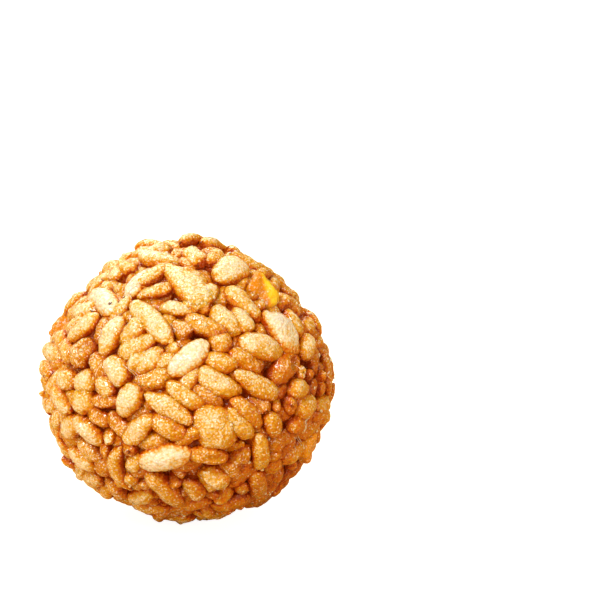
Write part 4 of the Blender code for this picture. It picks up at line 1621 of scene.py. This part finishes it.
@dataclass
class InnerGrains:
    """The second layer of grains, which shows soaked and in painted shade in the gaps."""

    ball: BallForm
    noise: LatticeNoise
    count: int = 360
    stray: float = 0.035  # how far from even they lie, in radians
    length_ends: tuple[float, float] = (5.8, 7.6)  # in millimetres
    width_ends: tuple[float, float] = (2.6, 3.4)  # in millimetres
    drop: float = 2.1 * MM  # from the outer crowns to those of this layer
    drop_stray: float = 0.35 * MM
    forms: int = 7  # how many of the forms occur, counted from the first
    least_syrup: float = 0.18
    deep_syrup_and_shade: float = 0.75  # syrup and painted shade that the deepest have besides
    syrup_depths: tuple[float, float] = (1.2 * MM, 4.4 * MM)
    net: tuple[int, int] = (14, 10)
    seed: int = 5
    batch: Batch = field(init=False)

    def __post_init__(self) -> None:
        """Lay the grains evenly all round, and draw what each is like."""
        rng = np.random.default_rng(self.seed)
        outward = unit(evenly_round(self.count) + rng.normal(0.0, self.stray, (self.count, 3)))
        axes = unit(np.cross(outward, rng.normal(size=outward.shape)))
        lengths = rng.uniform(*self.length_ends, self.count) * MM
        widths = rng.uniform(*self.width_ends, self.count) * MM
        lifts = -self.drop + rng.normal(0.0, self.drop_stray, self.count)
        layer = GrainLayer(self.ball, outward, axes, lengths, widths, lifts)
        forms = [list(Form)[n] for n in rng.choice(self.forms, self.count)]
        traits = GrainTraits.drawn(forms, rng)
        tints = rng.uniform(0.0, 1.0, self.count)
        self.batch = Batch(layer, traits, [Tone.AMBER] * self.count, tints)

    def build(self) -> bpy.types.Object:
        """Build and dress the piece.

        Returns:
            The piece.
        """
        net = SpindleNet(*self.net)
        skin = GrainSkin(self.ball, self.noise)
        points = skin.points(self.batch.layer, self.batch.traits, net)
        piece = make_object("inner_grains", points.reshape(-1, 3), net.faces(self.count))
        # Painted shade with the syrup: the deeper a grain lies, the darker it is.
        deep = smooth_step(*self.syrup_depths, self.ball.depth(points))
        paint(piece, "syrup", self.least_syrup + self.deep_syrup_and_shade * deep)
        paint(piece, "tint", np.repeat(self.batch.tints, points.shape[1]))
        piece.data.materials.append(INNER_FINISH.make())
        return piece


@dataclass
class SyrupBinding:
    """The set syrup that joins the grains: it lies in the gaps where they touch, and inside."""

    ball: BallForm
    noise: LatticeNoise
    voxel: float = 0.48 * MM
    relax_rounds: int = 4
    evening: float = 0.6  # how far each round moves a vertex to the middle of its neighbours
    sink: float = 0.95 * MM  # how far below the grains' skins it starts
    inside_depth: float = 3.7 * MM
    off_floor: float = 0.05 * MM
    net: tuple[int, int] = (12, 8)

    def build(self, batches: Sequence[Batch]) -> bpy.types.Object:
        """Fuse copies of the grains into one skin and let it sink and round off.

        Args:
            batches: the grains that the syrup joins.

        Returns:
            The piece, dressed.
        """
        net = SpindleNet(*self.net)
        skin = GrainSkin(self.ball, self.noise)
        shapes = [skin.points(batch.layer, batch.traits, net).reshape(-1, 3) for batch in batches]
        copies = sum(len(batch.tones) for batch in batches)
        rough = make_object("syrup_form", np.concatenate(shapes), net.faces(copies))
        inside = self._inside()
        fused = self._fused([rough, inside])
        points, faces = self._relaxed(fused)
        bpy.data.objects.remove(fused)
        piece = make_object("syrup", points, [faces])
        paint(piece, "depth", self.ball.depth(points) / MM)
        piece.data.materials.append(SetSyrupFinish().make())
        return piece

    def _inside(self) -> bpy.types.Object:
        """Build what lies below both layers of grains.

        Returns:
            A ball of syrup.
        """
        bpy.ops.mesh.primitive_ico_sphere_add(subdivisions=4, radius=1.0)
        inside = bpy.context.object
        outward = unit(vertices_of(inside))
        radius = self.ball.crown_radius(outward) - self.inside_depth
        points = self.ball.middle + outward * radius[:, None]
        inside.data.vertices.foreach_set("co", points.astype(np.float32).reshape(-1))
        return inside

    def _fused(self, shapes: Sequence[bpy.types.Object]) -> bpy.types.Object:
        """Join the shapes and wrap one skin round them.

        Args:
            shapes: what to join. They are used up.

        Returns:
            The skin.
        """
        for shape in bpy.context.selected_objects:
            shape.select_set(False)
        for shape in shapes:
            shape.select_set(True)
        bpy.context.view_layer.objects.active = shapes[0]
        bpy.ops.object.join()
        fused = shapes[0]
        modifier = fused.modifiers.new("wrap", "REMESH")
        modifier.mode = "VOXEL"
        modifier.voxel_size = self.voxel
        graph = bpy.context.evaluated_depsgraph_get()
        mesh = bpy.data.meshes.new_from_object(fused.evaluated_get(graph))
        fused.modifiers.clear()
        fused.data = mesh
        return fused

    def _relaxed(self, fused: bpy.types.Object) -> tuple[np.ndarray, np.ndarray]:
        """Even the skin out, which lowers it on the grains and raises it between them.

        Args:
            fused: the skin, all in four-sided faces.

        Returns:
            Its vertices and its faces.
        """
        points = vertices_of(fused)
        edges = np.empty(len(fused.data.edges) * 2, np.int32)
        fused.data.edges.foreach_get("vertices", edges)
        ends = np.concatenate([edges.reshape(-1, 2), edges.reshape(-1, 2)[:, ::-1]])
        count = np.bincount(ends[:, 0], minlength=len(points))
        for _ in range(self.relax_rounds):
            sums = [
                np.bincount(ends[:, 0], weights=points[ends[:, 1], axis], minlength=len(points))
                for axis in range(3)
            ]
            evened = self.evening * np.stack(sums, axis=1) / count[:, None]
            points = (1.0 - self.evening) * points + evened
        points = points - self.sink * unit(points - self.ball.middle)
        points[:, 2] = np.maximum(points[:, 2], self.off_floor)
        faces = np.empty(len(fused.data.polygons) * 4, np.int32)
        fused.data.polygons.foreach_get("vertices", faces)
        return points, faces.reshape(-1, 4)


@dataclass(frozen=True)
class CandiedPeel:
    """Chips of candied citrus peel: sticky outside, bright yellow where the knife cut them."""

    ball: BallForm
    noise: LatticeNoise
    size: tuple[float, float, float] = (4.8 * MM, 4.4 * MM, 2.8 * MM)
    lean: float = math.radians(14.0)
    shown_roll: float = math.radians(32.0)
    shown: tuple[float, float, float] = (12.8, 14.2, -40.0)  # across, up and turn
    others: tuple[tuple[float, float], ...] = (
        (62.0, -22.0), (128.0, 30.0), (196.0, -8.0), (262.0, 24.0),
    )  # azimuth and elevation
    cuts: int = 19
    corner: float = 3.6  # exponent of the rounded block: higher is squarer
    flare: float = 0.25  # how much longer one edge is than the one across from it
    swells: tuple[tuple[float, float], ...] = ((1.3 * MM, 0.45 * MM), (0.6 * MM, 0.16 * MM))
    curl: float = 0.10
    sunk: float = 0.6  # of its thickness
    cut_slope: tuple[float, float] = (0.4, 0.75)  # which sides the knife cut
    cut_edge: tuple[float, float] = (-0.02, 0.16)
    other_cut: float = 0.35  # how bright the cut is on the chips that aren't shown

    def places(self) -> tuple[np.ndarray, np.ndarray]:
        """Say where the chips lie.

        Returns:
            Outward direction and long axis of each chip.
        """
        across, up, turn = self.shown
        outward = self.ball.face_direction(np.array([across * MM]), np.array([up * MM]))
        axes = self.ball.laid_on_face(outward, np.radians([turn]))
        azimuth, elevation = np.radians(self.others).T
        level = np.stack([np.sin(azimuth), -np.cos(azimuth), np.zeros(len(azimuth))], axis=1)
        others = level * np.cos(elevation)[:, None]
        others = others + [0.0, 0.0, 1.0] * np.sin(elevation)[:, None]
        other_axes = unit(np.cross(others, np.roll(others, 1, axis=1)))
        return np.concatenate([outward, others]), np.concatenate([axes, other_axes])

    def stand_ins(self) -> tuple[np.ndarray, ...]:
        """Describe the chips as short wide grains, which keep the loose grains off them.

        Returns:
            Outward directions, long axes, lengths, widths and lifts.
        """
        outward, axes = self.places()
        full = np.ones(len(outward))
        return outward, axes, full * self.size[0], full * self.size[1], full * 0.0

    def build(self) -> bpy.types.Object:
        """Build and dress the chips as one piece.

        Returns:
            The piece.
        """
        block, faces = self._block()
        outward, axes = self.places()
        points, cut_sides = [], []
        for number, (out, axis) in enumerate(zip(outward, axes)):
            local = block * np.array(self.size)
            local[:, 0] *= 1.0 + self.flare * block[:, 1]
            slip = np.array([0.0, 11.0, 5.0]) * MM * number  # so that no two are alike
            swell = sum(
                self.noise.at(local + slip, size)[:, None] * height for size, height in self.swells
            )
            local = local + unit(local) * swell
            local[:, 2] += self.curl * local[:, 0] ** 2 / self.size[2]
            roll = 0.0 if number else self.shown_roll
            y = local[:, 1] * np.cos(roll) - local[:, 2] * np.sin(roll)
            up = local[:, 2] * np.cos(roll) + local[:, 1] * np.sin(roll)
            x = local[:, 0] * np.cos(self.lean) + up * np.sin(self.lean)
            z = up * np.cos(self.lean) - local[:, 0] * np.sin(self.lean)
            side = np.cross(out, axis)
            depth = self.ball.crown_radius(out) - self.size[2] * self.sunk
            centre = self.ball.middle + out * depth
            points.append(
                centre + x[:, None] * axis + y[:, None] * side + z[:, None] * np.cross(axis, side)
            )
            edge = self.cut_slope[0] * block[:, 0] + self.cut_slope[1] * block[:, 1]
            bright = self.other_cut if number else 1.0
            cut_sides.append(smooth_step(*self.cut_edge, edge) * bright)
        shift = (np.arange(len(points)) * len(block))[:, None, None]
        piece = make_object("candied_peel", np.concatenate(points), [
            (shift + faces[None]).reshape(-1, 4)
        ])
        paint(piece, "cut", np.concatenate(cut_sides))
        piece.data.materials.append(CandiedPeelFinish().make())
        return piece

    def _block(self) -> tuple[np.ndarray, np.ndarray]:
        """Build a block of size 1 with rounded corners.

        Returns:
            Its vertices and its faces.
        """
        shape = bmesh.new()
        bmesh.ops.create_cube(shape, size=1.0)
        bmesh.ops.subdivide_edges(shape, edges=shape.edges, cuts=self.cuts, use_grid_fill=True)
        points = np.array([vertex.co for vertex in shape.verts])
        faces = np.array([[vertex.index for vertex in face.verts] for face in shape.faces])
        shape.free()
        reach = (np.abs(points) ** self.corner).sum(axis=1) ** (1 / self.corner)
        return points * (0.5 / reach)[:, None] * 1.1, faces


class OuterSkin:
    """The outermost surface of the pieces that are built, to set small things on."""

    def __init__(self, ball: BallForm, pieces: Sequence[bpy.types.Object]) -> None:
        """Index the pieces' faces.

        Args:
            ball: the ball's form.
            pieces: what makes up the surface.
        """
        self.ball = ball
        graph = bpy.context.evaluated_depsgraph_get()
        self.trees = [BVHTree.FromObject(piece, graph) for piece in pieces]

    def at(self, outward: np.ndarray) -> tuple[np.ndarray, np.ndarray]:
        """Where lines from outside to the middle meet the surface.

        Args:
            outward: directions of length 1 from the middle.

        Returns:
            Places on the surface, and the surface's normals there.
        """
        places, normals = [], []
        for direction in outward:
            start = Vector(self.ball.middle + direction * self.ball.width)
            hits = [tree.ray_cast(start, -Vector(direction)) for tree in self.trees]
            hits = [hit for hit in hits if hit[0] is not None]
            place, normal, _, _ = min(hits, key=lambda hit: hit[3])
            places.append(place)
            normals.append(normal)
        return np.array(places), np.array(normals)


@dataclass
class Crumbs:
    """Bits much smaller than a grain that stuck to the syrup, all of one kind."""

    ball: BallForm
    noise: LatticeNoise
    name: str
    finish: PuffedRiceFinish
    shown: tuple[tuple[float, float, float], ...]  # across, up and size in millimetres
    count: int
    smallest: float
    largest: float
    seed: int
    most_facing: float = 1.0  # cosine from the shown face within which no loose one lies
    lowest: float = -0.93  # none lies under the ball
    stretch: tuple[float, float] = (1.05, 1.8)  # length over width
    proud: float = 0.12  # how much of its width it is lifted by
    forms: int = 7  # how many of the forms occur, counted from the first
    syrup: float = 0.05  # the share that they took up
    net: tuple[int, int] = (7, 8)

    def build(self, surface: OuterSkin) -> bpy.types.Object:
        """Build and dress the piece.

        Args:
            surface: what the bits lie on.

        Returns:
            The piece.
        """
        rng = np.random.default_rng(self.seed)
        outward = unit(rng.normal(size=(self.count, 3)))
        facing = along(outward, self.ball.face_out)[:, 0]
        outward = outward[(outward[:, 2] > self.lowest) & (facing < self.most_facing)]
        sizes = rng.uniform(self.smallest, self.largest, len(outward))
        if self.shown:
            across, up, size = np.array(self.shown).T * MM
            outward = np.concatenate([self.ball.face_direction(across, up), outward])
            sizes = np.concatenate([size, sizes])
        places, normals = surface.at(outward)
        axes = unit(np.cross(normals, rng.normal(size=normals.shape)))
        lengths = sizes * rng.uniform(*self.stretch, len(sizes))
        layer = GrainLayer(self.ball, normals, axes, lengths, sizes, sizes * 0.0)
        layer.centres = places + normals * (sizes * self.proud)[:, None]
        forms = [list(Form)[n] for n in rng.choice(self.forms, len(sizes))]
        net = SpindleNet(*self.net)
        skin = GrainSkin(self.ball, self.noise, swell_size=0.5 * MM, blister_size=0.25 * MM)
        points = skin.points(layer, GrainTraits.drawn(forms, rng), net)
        piece = make_object(self.name, points.reshape(-1, 3), net.faces(len(sizes)))
        paint(piece, "syrup", np.full(points.shape[:2], self.syrup))
        paint(piece, "tint", np.repeat(rng.uniform(0.0, 1.0, len(sizes)), points.shape[1]))
        piece.data.materials.append(self.finish.make())
        return piece


@dataclass(frozen=True)
class SyrupThreads:
    """Hair-thin threads of syrup, pulled out while it set, that lie across a few grains."""

    ball: BallForm
    runs: tuple[tuple[float, float, float, float], ...]  # from across, up to across, up
    radius: float = 0.055 * MM
    middle_swell: float = 0.7  # of that radius, and the ends are thicker
    end_swell: float = 0.9
    bow: float = 0.07  # of a thread's length
    lift: float = 0.4  # of its radius
    points: int = 14
    seed: int = 12

    def build(self, surface: OuterSkin) -> bpy.types.Object:
        """Build and dress the piece.

        Args:
            surface: what the threads lie on.

        Returns:
            The piece.
        """
        rng = np.random.default_rng(self.seed)
        curve = bpy.data.curves.new("syrup_threads", "CURVE")
        curve.dimensions = "3D"
        curve.bevel_depth = self.radius
        curve.bevel_resolution = 1
        curve.use_fill_caps = True
        share = np.linspace(0.0, 1.0, self.points)
        for run in self.runs:
            start, end = np.array(run[:2]), np.array(run[2:])
            bow = rng.normal(0.0, self.bow) * np.sin(math.pi * share)
            path = start + share[:, None] * (end - start)
            path = path + bow[:, None] * np.array([start[1] - end[1], end[0] - start[0]])
            places, normals = surface.at(self.ball.face_direction(*(path * MM).T))
            places = places + normals * self.radius * self.lift
            ridge = places.copy()  # a thread spans the dips between grains instead of filling them
            ridge[1:-1] = 0.5 * places[1:-1] + 0.25 * (places[:-2] + places[2:])
            spline = curve.splines.new("POLY")
            spline.points.add(self.points - 1)
            for point, place, off in zip(spline.points, ridge, np.abs(share - 0.5)):
                point.co = (*place, 1.0)
                point.radius = self.middle_swell + self.end_swell * off
        drawn = bpy.data.objects.new("syrup_threads", curve)
        bpy.context.scene.collection.objects.link(drawn)
        graph = bpy.context.evaluated_depsgraph_get()
        mesh = bpy.data.meshes.new_from_object(drawn.evaluated_get(graph))
        bpy.data.objects.remove(drawn)
        piece = bpy.data.objects.new("syrup_threads", mesh)
        bpy.context.scene.collection.objects.link(piece)
        mesh.shade_smooth()
        mesh.materials.clear()
        mesh.materials.append(THREAD_FINISH.make())
        return piece


# ---------------------------------------------------------------- stage, light and camera


@dataclass(frozen=True)
class SoftBox:
    """A square soft light that looks at the ball."""

    name: str
    place: tuple[float, float, float]
    size: float
    power: float
    tint: str = "#FFFFFF"
    aim: tuple[float, float, float] = (0.0, 0.0, 0.024)

    def build(self) -> None:
        """Make the light and aim it."""
        data = bpy.data.lights.new(self.name, "AREA")
        data.size = self.size
        data.energy = self.power
        data.color = linear(self.tint)[:3]
        light = bpy.data.objects.new(self.name, data)
        light.location = self.place
        aim = Vector(self.aim) - light.location
        light.rotation_euler = aim.to_track_quat("-Z", "Y").to_euler()
        bpy.context.scene.collection.objects.link(light)


@dataclass(frozen=True)
class Stage:
    """A plain pale floor under plain soft studio light."""

    floor_radius: float = 4.0
    floor_colour: str = "#D2C0A0"
    floor_painted_reflection: str = "#C08028"  # painted reflection: the orange that wet flanks mirror in place of the floor
    floor_glow: float = 0.92
    soft_boxes: tuple[SoftBox, ...] = (
        SoftBox("key", (-0.30, -0.34, 0.61), 0.24, 3.5),
        SoftBox("fill", (0.55, -0.40, 0.45), 0.5, 1.9, "#FFEACB"),
        SoftBox("back", (-0.20, 0.55, 0.50), 0.6, 5.0, "#FFEACB"),
        SoftBox("bounce", (-0.30, -0.52, 0.05), 0.5, 1.5, "#FFE2B8"),
    )
    sky_seen: float = 1.0
    sky_cast: float = 0.5
    sky_gloss: float = 0.6
    painted_reflection_tint: str = "#F0A02C"  # painted reflection: the orange that wet rims mirror in place of the white sky

    def build(self) -> None:
        """Make the floor, the lights and the sky."""
        self._floor()
        for soft_box in self.soft_boxes:
            soft_box.build()
        self._sky()

    def _floor(self) -> None:
        """A sweep of matt paper, bright enough that the ball seems to stand on white."""
        bpy.ops.mesh.primitive_circle_add(vertices=96, radius=self.floor_radius, fill_type="NGON")
        floor = bpy.context.object
        floor.name = "floor"
        material = bpy.data.materials.new("white_paper_sweep")
        nodes = Nodes(material)
        path = nodes.add("LightPath").outputs
        glow = nodes.add(
            "Math", {"operation": "MULTIPLY"}, in0=path["Is Camera Ray"], in1=self.floor_glow
        ).outputs[0]
        # Painted reflection: glossy rays see the floor orange, so wet flanks mirror a warm colour.
        stops = ((0.0, self.floor_colour), (1.0, self.floor_painted_reflection))
        colour = nodes.add("ValToRGB", {"stops": stops}, Fac=path["Is Glossy Ray"])
        shader = nodes.add(
            "BsdfPrincipled", None, Base_Color=colour.outputs["Color"], Roughness=0.9,
            Emission_Color=linear("#FFFFFF"), Emission_Strength=glow,
        )
        nodes.add("OutputMaterial", None, Surface=shader.outputs["BSDF"])
        floor.data.materials.append(material)

    def _sky(self) -> None:
        """White all round, seen brighter than it lights, with a painted warm reflection where wet
        rims mirror it.
        """
        world = bpy.data.worlds.new("white_studio")
        bpy.context.scene.world = world
        nodes = Nodes(world)
        path = nodes.add("LightPath").outputs
        # Painted reflection: glossy rays see the sky orange.
        colour = nodes.add(
            "Mix", {"data_type": "RGBA"}, in0=path["Is Glossy Ray"], in6=linear("#FFFFFF"),
            in7=linear(self.painted_reflection_tint),
        ).outputs[2]
        lit = nodes.add(
            "MapRange", None, Value=path["Is Glossy Ray"], To_Min=self.sky_cast,
            To_Max=self.sky_gloss,
        ).outputs["Result"]
        strength = nodes.add(
            "MapRange", None, Value=path["Is Camera Ray"], To_Min=lit, To_Max=self.sky_seen,
        ).outputs["Result"]
        sky = nodes.add("Background", None, Color=colour, Strength=strength)
        nodes.add("OutputWorld", None, Surface=sky.outputs["Background"])


@dataclass(frozen=True)
class ViewPoint:
    """A camera on a long lens that looks a little down at the ball, which sits low and left."""

    ball: BallForm
    lens: float = 100.0
    sensor: float = 36.0
    elevation: float = math.radians(20.0)
    ball_share: float = 0.49  # of the picture's width
    across: float = -0.188  # the ball's middle from the picture's, in picture widths
    up: float = -0.130

    def build(self) -> None:
        """Make the camera and aim it."""
        data = bpy.data.cameras.new("camera")
        data.lens, data.sensor_width = self.lens, self.sensor
        data.clip_start, data.clip_end = 0.01, 20.0
        camera = bpy.data.objects.new("camera", data)
        bpy.context.scene.collection.objects.link(camera)
        bpy.context.scene.camera = camera
        distance = self.ball.width / self.ball_share * self.lens / self.sensor
        camera.location = Vector(self.ball.middle + self.ball.face_out * distance)
        in_view = Vector((self.across, self.up, -self.lens / self.sensor)).normalized()
        to_ball = (Vector(self.ball.middle) - camera.location).normalized()
        yaw, pitch = self._angles(in_view, to_ball)
        upright = Quaternion((1, 0, 0), math.pi / 2 + pitch)
        camera.rotation_mode = "QUATERNION"
        camera.rotation_quaternion = Quaternion((0, 0, 1), yaw) @ upright

    @staticmethod
    def _angles(in_view: Vector, to_ball: Vector) -> tuple[float, float]:
        """Yaw and pitch of a level camera that sees the ball in a chosen direction.

        Args:
            in_view: where the ball should be, in the camera's own frame.
            to_ball: where it is from the camera, in the scene's frame.

        Returns:
            Yaw round +Z and pitch above the horizon, in radians.
        """
        reach = math.hypot(in_view.y, in_view.z)
        lean = math.atan2(in_view.y, -in_view.z)
        pitch = math.asin(to_ball.z / reach) - lean
        ahead = in_view.y * -math.sin(pitch) - in_view.z * math.cos(pitch)
        yaw = math.atan2(-to_ball.x, to_ball.y) - math.atan2(-in_view.x, ahead)
        return yaw, pitch


SHOWN_SPECKS = (  # across, up and size in millimetres
    (-9.8, 13.1, 0.36), (-10.7, 12.4, 0.32), (-11.7, 11.9, 0.40), (-5.7, -17.0, 0.45),
    (-9.0, -17.2, 0.34), (-15.2, 11.3, 0.34), (12.2, -9.6, 0.62),
)
THREAD_RUNS = (  # from across, up to across, up, in millimetres
    (-10.6, 13.6, -7.4, 16.6), (-10.2, 13.0, -7.2, 15.2), (-9.4, 12.6, -7.8, 15.8),
    (-9.6, 2.2, -8.0, 0.2), (-8.9, 1.8, -7.4, -0.6), (17.8, -6.6, 16.9, -10.4),
    (18.2, -6.4, 17.4, -10.9), (18.7, -6.8, 17.7, -11.2), (17.4, -7.6, 16.4, -11.4),
)


def main() -> None:
    """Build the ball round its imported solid, and report each piece."""
    logging.basicConfig(level=logging.INFO, format="%(name)s: %(message)s")
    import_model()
    bpy.context.scene.view_settings.view_transform = "Standard"
    ball = BallForm()
    noise = LatticeNoise(seed=3)
    peel = CandiedPeel(ball, noise)
    outer = OuterGrains(ball, noise, peel.stand_ins())
    filling = FillingGrains(ball, noise, outer.batch)
    inner = InnerGrains(ball, noise)
    LOG.info("%d outer, %d filling grains", len(outer.batch.tones), len(filling.batch.tones))
    binding = SyrupBinding(ball, noise).build([outer.batch, filling.batch, inner.batch])
    pieces = [*outer.build(), *filling.build(), inner.build(), binding, peel.build()]
    surface = OuterSkin(ball, pieces)
    pieces += [
        Crumbs(
            ball, noise, "rice_crumbs", CRUMB_FINISH, (), count=140,
            smallest=0.2 * MM, largest=0.5 * MM, seed=31,
        ).build(surface),
        Crumbs(
            ball, noise, "toasted_specks", TOASTED_FINISH, SHOWN_SPECKS, count=12,
            smallest=0.22 * MM, largest=0.42 * MM, seed=32, most_facing=0.1,
        ).build(surface),
        SyrupThreads(ball, THREAD_RUNS).build(surface),
    ]
    for piece in pieces:
        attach(piece, BODY)
        LOG.info("%s: %d faces", piece.name, len(piece.data.polygons))
    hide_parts(NODE)
    Stage().build()
    ViewPoint(ball).build()


if __name__ == "__main__":
    main()
